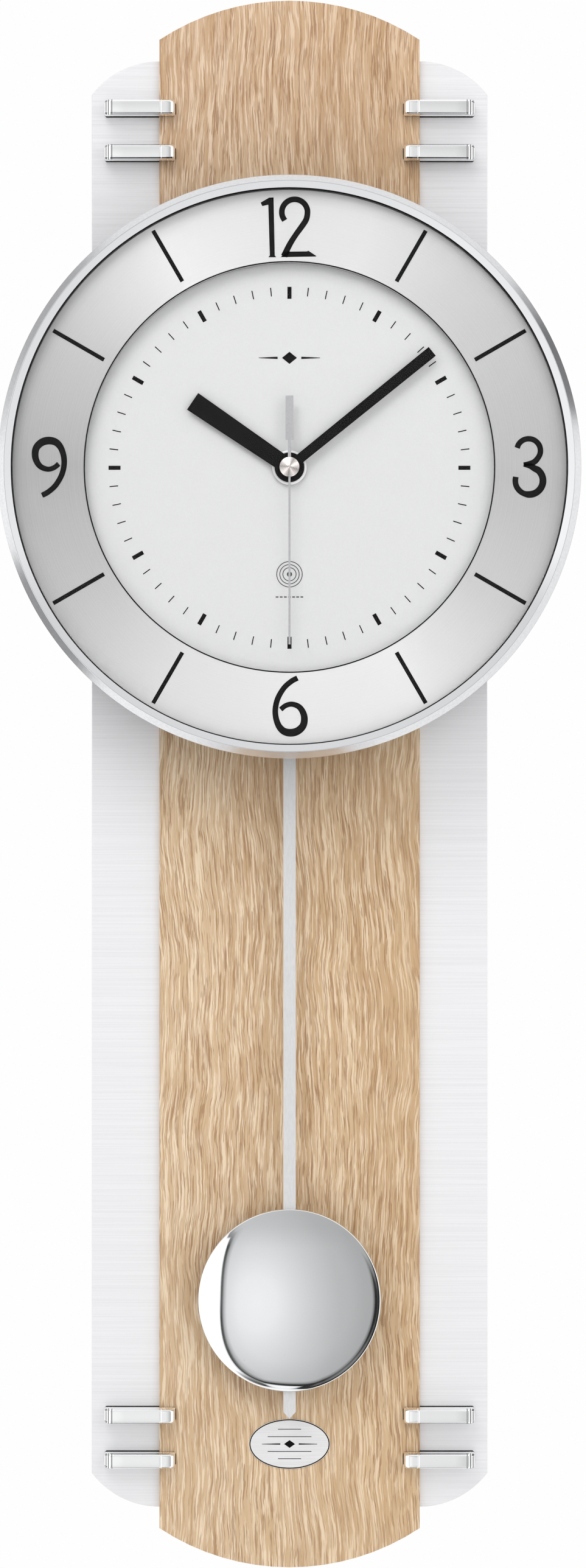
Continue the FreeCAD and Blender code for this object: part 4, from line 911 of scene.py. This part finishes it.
class CLOCK_OT_dial_case(bpy.types.Operator):
    """Turn the bezel, its gasket and the front glass"""

    bl_idname = "clock.dial_case"
    bl_label = "Bezel and glass"

    def execute(self, context):
        outer = half_width("bezel")
        skirt, peak = depths_of("bezel")
        glass_rear, glass_front = depths_of("glass")
        fold = peak - BEZEL_FOLD
        rim = outer - BEZEL_OUTER_SLOPE
        opening = rim - BEZEL_INNER_SLOPE
        wall = outer - BEZEL_WALL
        profile = rounded([
            (outer, skirt, 0.3), (outer, fold, 0.9), (rim, peak, 0.35),
            (opening, glass_front + 0.5, 0.15), (opening, glass_front, 0.0),
            (wall - 2.2, glass_front, 0.0), (rim, glass_front + 0.3, 0.0),
            (wall, fold - 0.2, 0.0), (wall, skirt, 0.0)])

        def facing_in(a, b):
            """Whether a row of the section lies on the inner slope."""
            return (opening - 0.1 < min(a[0], b[0]) and max(a[0], b[0]) < rim + 0.05
                    and min(a[1], b[1]) > glass_front + 0.35)

        bezel = turned("bezel_ring", profile, DIAL_Z,
                       [MATERIALS["bezel_silver"], MATERIALS["bezel_polish"]], facing_in)
        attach(bezel, "root")
        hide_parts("bezel")

        radius = half_width("glass")
        pane = turned("front_glass", rounded([
            (0.0, glass_rear, 0.0), (radius, glass_rear, 0.2), (radius, glass_front, 0.2),
            (0.0, glass_front, 0.0)]), DIAL_Z, MATERIALS["clear_glass"])
        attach(pane, "root")
        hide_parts("glass")

        radius = half_width("glass_gasket")
        rear, front = depths_of("glass_gasket")
        inner = opening - 0.5
        seal = turned("gasket_ring", rounded([
            (radius, rear, 0.0), (radius, front, 0.0), (inner, front, 0.3),
            (inner, rear, 0.3)]), DIAL_Z, MATERIALS["seal_black"])
        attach(seal, "root")
        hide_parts("glass_gasket")
        return {"FINISHED"}


RING_OPENING = 86.4
# Dark ring at the numeral ring's opening: painted shade at the edge of the recess.
EDGE_SHADE_RADIUS = 86.75
EDGE_SHADE_WIDTH = 0.55
AXIS_HOLE = 5.0


class CLOCK_OT_dial_faces(bpy.types.Operator):
    """Turn the numeral ring, the spacer behind it and the inner dial"""

    bl_idname = "clock.dial_faces"
    bl_label = "Numeral ring and inner dial"

    def execute(self, context):
        outer = half_width("numeral_ring")
        inner = RING_OPENING
        rear = depths_of("numeral_ring")[0]
        ring = turned("numeral_disc", rounded([
            (outer, rear, 0.0), (outer, RING_FACE, 0.1), (inner, RING_FACE, 0.12),
            (inner, rear, 0.0)]), DIAL_Z, MATERIALS["ring_silver"])
        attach(ring, "root")
        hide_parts("numeral_ring")

        lip = inner + 0.2
        spacer = turned("spacer_ring", rounded([
            (lip, DIAL_FACE, 0.0), (outer, DIAL_FACE, 0.0), (outer, rear, 0.0),
            (outer - 2.0, rear, 0.0), (outer - 2.0, DIAL_FACE + 1.2, 0.4),
            (lip + 2.0, DIAL_FACE + 1.2, 0.4), (lip + 2.0, rear, 0.0),
            (lip, rear, 0.2)]), DIAL_Z, MATERIALS["spacer_grey"])
        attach(spacer, "root")
        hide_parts("ring_spacer")

        rear = depths_of("inner_dial")[0]
        dial = turned("inner_dial_disc", rounded([
            (outer, rear, 0.0), (outer, DIAL_FACE, 0.1), (AXIS_HOLE, DIAL_FACE, 0.1),
            (AXIS_HOLE, rear, 0.0)]), DIAL_Z, MATERIALS["dial_white"])
        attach(dial, "root")
        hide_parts("inner_dial")
        return {"FINISHED"}


def moved_to_hour(outline, hour, radius):
    """Move an upright outline to an hour's place without turning it."""
    angle = math.radians(30 * hour)
    du = radius * math.sin(angle)
    dv = radius * math.cos(angle)
    return [(u + du, v + dv) for u, v in outline]


def radial_bar(turn, inner, outer, width):
    """Bar that points at the dial's centre; turn in degrees clockwise."""
    angle = math.radians(turn)
    out = Vector((math.sin(angle), math.cos(angle)))
    side = Vector((out.y, -out.x)) * width / 2
    corners = (out * inner - side, out * inner + side, out * outer + side,
               out * outer - side)
    return [tuple(corner) for corner in corners]


def twelve():
    one = [(-12.2, 10.5), (-11.5, 9.0), (-8.95, 9.6), (-8.3, -11.9), (-8.8, -12.3),
           (-8.8, -12.6), (-5.7, -12.6), (-5.7, -12.3), (-6.2, -11.9), (-6.7, 12.7),
           (-8.6, 12.6)]
    bowl = arc_points(2.2, 6.45, 5.43, 220, 0, 2.25, 13)
    two = brushed_stroke(bowl + [(7.1, 3.4, 2.3), (5.2, 0.4, 2.3), (2.6, -3.2, 2.2),
                                 (0.1, -7.2, 2.3), (-2.3, -12.2, 2.5)])
    foot = [(-3.8, -12.55), (11.3, -12.3), (11.4, -12.1), (8.0, -9.8), (7.4, -10.1),
            (-1.0, -10.2)]
    return [one, foot] + two


def three():
    upper = brushed_stroke(arc_points(-0.1, 6.9, 5.0, 167, -38, 2.2, 12)
                           + [(2.4, 2.2, 2.3), (0.3, 1.45, 2.0), (-2.25, 1.05, 1.6)])
    lower = brushed_stroke([(-2.2, 1.0, 1.6), (0.6, 0.35, 2.2), (2.6, -0.75, 2.6)]
                           + arc_points(0.1, -5.8, 5.85, 48, -90, 2.7, 7)
                           + arc_points(0.1, -5.8, 5.85, -110, -196, 2.25, 6))
    return upper + lower


def six():
    return brushed_stroke([
        (-3.7, -1.3, 2.0), (-1.6, 0.35, 2.0), (1.2, 0.95, 2.05), (4.4, -0.5, 2.3),
        (6.2, -4.0, 2.6), (5.9, -7.8, 2.8), (3.6, -10.3, 3.0), (0.4, -11.15, 3.05),
        (-2.8, -10.2, 2.8), (-5.0, -7.2, 2.4), (-6.0, -2.4, 2.25), (-5.1, 2.9, 2.2),
        (-2.4, 7.7, 2.15), (0.8, 10.6, 2.15), (3.4, 12.0, 2.1)])


def box_outline(u, v, half_u, half_v):
    """Rectangle about a middle."""
    return [(u - half_u, v - half_v), (u + half_u, v - half_v),
            (u + half_u, v + half_v), (u - half_u, v + half_v)]


def diamond(v, half_u, half_v):
    return [(0, v + half_v), (-half_u, v), (0, v - half_v), (half_u, v)]


def taper(side, v, near, far, near_half, far_half):
    """Line that runs outward and thins."""
    return [(side * near, v + near_half), (side * far, v + far_half),
            (side * far, v - far_half), (side * near, v - near_half)]


def signal_sign(drop):
    """Three rings, a mast and a row of dashes, below the dial's centre."""
    sign = []
    for size in (5.4, 4.1, 2.8):
        sign += band_outlines(size, 0.34, 0.0, drop)
    sign.append([(-0.2, drop - 8.5), (0.2, drop - 8.5), (0.2, drop + 0.2),
                 (-0.2, drop + 0.2)])
    sign += band_outlines(0.55, 1.1, 0.0, drop, 24)
    for step in range(-3, 4):
        sign.append(box_outline(step * 1.75, drop - 9.65, 0.6, 0.25))
    return sign


def oval_ornament(pieces=96):
    """Oval border, four rules, and a diamond between two tapers."""
    shapes = []
    for step in range(pieces):
        quad = []
        for reach, at in ((0, step), (0.45, step), (0.45, step + 1), (0, step + 1)):
            angle = 2 * math.pi * at / pieces
            quad.append(((16.95 + reach) * math.sin(angle),
                         (10.25 + reach) * math.cos(angle)))
        shapes.append(quad)
    for above in (-1, 1):
        for v, half in ((3.2, 9.5), (6.4, 5.0)):
            shapes.append(box_outline(0, above * v, half, 0.14))
    shapes.append(diamond(0, 2.4, 1.7))
    return shapes + [taper(side, 0, 4.0, 12.0, 0.3, 0.1) for side in (-1, 1)]


class CLOCK_OT_prints(bpy.types.Operator):
    """Print the numerals, bars, minute track, signal sign and ornaments"""

    bl_idname = "clock.prints"
    bl_label = "Printed dial"

    def execute(self, context):
        ink = MATERIALS["ink"]
        radius = in_mm("numeral_radius")
        nine = [[(-u, -v) for u, v in outline] for outline in six()]
        outlines = []
        for hour, shapes in ((0, twelve()), (3, three()), (6, six()), (9, nine)):
            outlines += [moved_to_hour(shape, hour, radius) for shape in shapes]
        numerals = flat_print("numerals", outlines, RING_FACE, DIAL_Z, ink)

        bars = [radial_bar(30 * hour, in_mm("bar_inner"), in_mm("bar_outer"),
                           in_mm("bar_width")) for hour in range(12) if hour % 3]
        bars = flat_print("hour_bars", bars, RING_FACE, DIAL_Z, ink)
        # Dark ring at the ring's opening, drawn in ink: painted shade at the edge of the
        # recess.
        line = band_outlines(EDGE_SHADE_RADIUS, EDGE_SHADE_WIDTH, pieces=256)
        line = flat_print("ring_edge_painted_shade", line, RING_FACE, DIAL_Z, ink)

        marks = []
        outer = in_mm("track_radius")
        for minute in range(60):
            whole = minute % 5 == 0
            reach = in_mm("hour_mark") if whole else in_mm("minute_mark")
            width = in_mm("hour_mark_width") if whole else in_mm("minute_mark_width")
            marks.append(radial_bar(6 * minute, outer - reach, outer, width))
        track = flat_print("minute_track", marks, DIAL_FACE, DIAL_Z, ink)

        sign = flat_print("signal_sign", signal_sign(-in_mm("emblem_drop")), DIAL_FACE,
                          DIAL_Z, MATERIALS["pale_ink"])

        rise = in_mm("ornament_rise")
        ornament = [diamond(rise, 3.2, 2.6)]
        ornament += [taper(side, rise, 5.0, 13.0, 0.5, 0.12) for side in (-1, 1)]
        ornament = flat_print("dial_ornament", ornament, DIAL_FACE, DIAL_Z, ink)
        plate = flat_print("oval_ornament", oval_ornament(), OVAL_FRONT,
                           middle_of("oval_plate").z, ink)

        for piece in (numerals, bars, line, track, sign, ornament, plate):
            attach(piece, "root")
        return {"FINISHED"}


NUT_RADIUS = 7.35
CAP_RADIUS = 4.2
CAP_TIP = 0.9


class CLOCK_OT_hub(bpy.types.Operator):
    """Turn the fixing nut and the cap over the hands"""

    bl_idname = "clock.hub"
    bl_label = "Hub"

    def execute(self, context):
        rear, front = depths_of("fixing_nut")
        nut = turned("dial_nut", rounded([
            (AXIS_HOLE, rear, 0.0), (NUT_RADIUS, rear, 0.0), (NUT_RADIUS, front, 0.5),
            (AXIS_HOLE, front, 0.3)]), DIAL_Z, MATERIALS["nut_nickel"])
        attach(nut, "root")
        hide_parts("fixing_nut")

        rear, front = depths_of("hand_cap")
        cap = turned("hand_cap_cone", rounded([
            (0.0, rear, 0.0), (CAP_RADIUS, rear, 0.0), (CAP_RADIUS, rear + 0.25, 0.1),
            (CAP_TIP, front, 0.35), (0.0, front, 0.0)]), DIAL_Z, MATERIALS["cap_spun"])
        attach(cap, "second_hand")
        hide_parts("hand_cap")
        return {"FINISHED"}


BOB_RIM = 2.2
BOB_SHEET = 0.8
BOB_LIP = 1.2
BOB_STEPS = 40


class CLOCK_OT_bob(bpy.types.Operator):
    """Press the pendulum's domed bob"""

    bl_idname = "clock.bob"
    bl_label = "Bob"

    def execute(self, context):
        radius = half_width("bob_shell")
        rear, front = depths_of("bob_shell")
        dome = front - rear - BOB_RIM

        def face(reach, height, top):
            """Points of a spherical face from its edge to its middle."""
            sphere = (reach ** 2 + height ** 2) / (2 * height)
            widest = math.asin(reach / sphere)
            points = []
            for step in range(BOB_STEPS + 1):
                angle = widest * (1 - step / BOB_STEPS)
                points.append((sphere * math.sin(angle),
                               top - sphere * (1 - math.cos(angle))))
            points[-1] = (0.0, top)
            return points

        edge = rounded([(radius - BOB_SHEET, rear, 0.0), (radius, rear, 0.3),
                        (radius, front - dome, 0.6),
                        (radius - BOB_LIP, front - dome + 0.4, 0.0)])
        outer = face(radius - BOB_LIP, dome - 0.4, front)
        inner = face(radius - BOB_SHEET, dome - 0.1, front - BOB_SHEET)[::-1]
        profile = [tuple(p) for p in edge[:-1]] + outer + inner
        shell = turned("bob_dome", profile, BOB_Z, MATERIALS["chrome"])
        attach(shell, "pendulum")
        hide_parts("bob_shell")
        return {"FINISHED"}


CLIP_OVERLAP = 7.0
CLIP_LENGTH = 30.8
CLIP_HALF = 3.65
CLIP_RISE = 8.0
CLIP_FOOT_SHARE = 0.80
CLIP_PITCH = 19.4
CLIP_SPREAD = 0.9
CLIP_GROOVES = (6.25, 27.2, 28.7, 29.8)
CLIP_GROOVE_DEPTH = 0.40
CLIP_END_ROUND = 3.0
CLIP_FLAT = (6.0, 27.6)
CLIP_STATIONS = (0.0, 0.1, 0.3, 0.7, 1.3, 2.0, 3.0, 4.0, 5.8, 6.0, 6.25, 6.5, 6.9, 7.1,
                 15.0, 22.0, 27.0, 27.2, 27.5, 27.6, 28.1, 28.5, 28.7, 29.0, 29.3, 29.6,
                 29.8, 30.1, 30.5, 30.7, CLIP_LENGTH)
# Margin, corner cut and height of the black sheet round each clip's foot, a painted
# contact shadow.
SHADOW_SHEET_MARGIN = 0.22
SHADOW_SHEET_CORNER = 0.9
SHADOW_SHEET_RISE = 0.25


def clip_mesh(bm, side, height):
    """Softly rounded bar with a grooved flat top, from on the wood to the aluminium."""
    wood_half = half_width("wood_front_panel")
    inner = wood_half - CLIP_OVERLAP
    flat_start, flat_end = CLIP_FLAT
    rows = []
    for reach in CLIP_STATIONS:
        crest = CLIP_RISE
        if reach < CLIP_END_ROUND:
            bend = (CLIP_END_ROUND - reach) / CLIP_END_ROUND
            crest = CLIP_RISE - 3.0 * (1 - math.sqrt(1 - bend ** 2))
        elif reach > flat_end:
            bend = min((reach - flat_end) / (CLIP_LENGTH - flat_end), 1.0)
            crest = CLIP_RISE - 4.0 * (1 - math.sqrt(1 - bend ** 2))
        if reach in CLIP_GROOVES:
            crest -= CLIP_GROOVE_DEPTH
        near_end = min(reach / 2.0, (CLIP_LENGTH - reach) / 2.4, 1.0)
        width = CLIP_HALF * (0.78 + 0.22 * math.sqrt(near_end * (2 - near_end)))
        base = WOOD_FRONT if inner + reach <= wood_half else ALUMINIUM_FRONT
        top = WOOD_FRONT + crest
        drop = min(3.6, crest - 0.4)
        flat = 0.50
        section = [(-CLIP_FOOT_SHARE, base)]
        for step in range(10):
            turn = math.pi / 2 * step / 9
            section.append((-flat - 0.07 - (1 - flat - 0.07) * math.cos(turn),
                            top - drop * (1 - math.sin(turn))))
        groove = 0.30 if flat_start <= reach <= flat_end else 0.0
        section += [(-flat - 0.03, top - groove), (-flat, top)]
        section += [(-share, depth) for share, depth in section[::-1]]
        rows.append([bm.verts.new(place(side * (inner + reach), share * width, depth,
                                        height)) for share, depth in section])
    for number, (first, second) in enumerate(zip(rows, rows[1:])):
        in_groove = CLIP_STATIONS[number] in CLIP_GROOVES[1:]
        for index in range(len(first)):
            after = (index + 1) % len(first)
            face = bm.faces.new((first[index], first[after], second[after],
                                 second[index]))
            # Groove rows take the second, near-black finish: painted shade and painted
            # dark reflection.
            if in_groove and 5 <= index <= len(first) - 7:
                face.material_index = 1
    bm.faces.new(rows[0])
    bm.faces.new(rows[-1][::-1])


def clip_shadow_sheet(bm, side, height):
    """Black sheet all round a clip's foot where it meets the panels: painted contact
    shadow.
    """
    wood_half = half_width("wood_front_panel")
    start = wood_half - CLIP_OVERLAP - SHADOW_SHEET_MARGIN
    end = start + CLIP_LENGTH + 2 * SHADOW_SHEET_MARGIN
    half = CLIP_HALF * CLIP_FOOT_SHARE + SHADOW_SHEET_MARGIN
    for first, last, base, at_start, at_end in (
            (start, wood_half, WOOD_FRONT, SHADOW_SHEET_CORNER, 0.0),
            (wood_half, end, ALUMINIUM_FRONT, 0.0, SHADOW_SHEET_CORNER)):
        outline = [(first + at_start, half), (last - at_end, half),
                   (last, half - at_end), (last, at_end - half),
                   (last - at_end, -half), (first + at_start, -half),
                   (first, at_start - half), (first, half - at_start)]
        prism(bm, list(dict.fromkeys(outline)), side, base + SHADOW_SHEET_RISE, base, height)


class CLOCK_OT_clips(bpy.types.Operator):
    """Cast the chromed clips that bridge the wood and the aluminium"""

    bl_idname = "clock.clips"
    bl_label = "Clips"

    def execute(self, context):
        for name, outward in (("upper_clips", 1), ("lower_clips", -1)):
            row = middle_of(name).z + outward * CLIP_SPREAD * MM
            bars = bmesh.new()
            shadow_sheets = bmesh.new()
            for side in (-1, 1):
                for step in (-0.5, 0.5):
                    clip_mesh(bars, side, row + step * CLIP_PITCH * MM)
                    clip_shadow_sheet(shadow_sheets, side, row + step * CLIP_PITCH * MM)
            for edge in bars.edges:
                edge.smooth = edge.calc_face_angle(0.0) < math.radians(30.0)
            clips = shaded_evenly(finished(name + "_chrome", bars,
                                           [MATERIALS["clip_chrome"],
                                            MATERIALS["clip_groove_painted_shade"]]))
            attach(clips, "root")
            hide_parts(name)
            # Black sheets round the clip feet: painted contact shadow, in the gasket's
            # near-black finish.
            shadow_sheets = finished(name + "_painted_shadow", shadow_sheets, MATERIALS["seal_black"], smooth=False)
            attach(shadow_sheets, "root")
        return {"FINISHED"}


class CLOCK_PT_sidebar(bpy.types.Panel):
    bl_idname = "CLOCK_PT_sidebar"
    bl_label = "Pendulum wall clock"
    bl_space_type = "VIEW_3D"
    bl_region_type = "UI"
    bl_category = "Clock"

    def draw(self, context):
        layout = self.layout
        for values in (settings().sizes, settings().colours):
            box = layout.box()
            for name in values.__annotations__:
                box.prop(values, name)
        for operator in OPERATORS:
            layout.operator(operator.bl_idname)


OPERATORS = (CLOCK_OT_carried_nodes, CLOCK_OT_stage, CLOCK_OT_side_strips,
             CLOCK_OT_dial_case, CLOCK_OT_dial_faces, CLOCK_OT_prints, CLOCK_OT_hub,
             CLOCK_OT_bob, CLOCK_OT_clips)
CLASSES = (ClockSizes, ClockColours, ClockSettings, *OPERATORS, CLOCK_PT_sidebar)


def register():
    for one in CLASSES:
        bpy.utils.register_class(one)
    bpy.types.Scene.pendulum_clock = PointerProperty(type=ClockSettings)


def unregister():
    del bpy.types.Scene.pendulum_clock
    for one in reversed(CLASSES):
        bpy.utils.unregister_class(one)


def main():
    register()
    bpy.ops.clock.carried_nodes()
    bpy.ops.clock.stage()
    bpy.ops.clock.side_strips()
    bpy.ops.clock.dial_case()
    bpy.ops.clock.dial_faces()
    bpy.ops.clock.prints()
    bpy.ops.clock.hub()
    bpy.ops.clock.bob()
    bpy.ops.clock.clips()


if __name__ == "__main__":
    main()
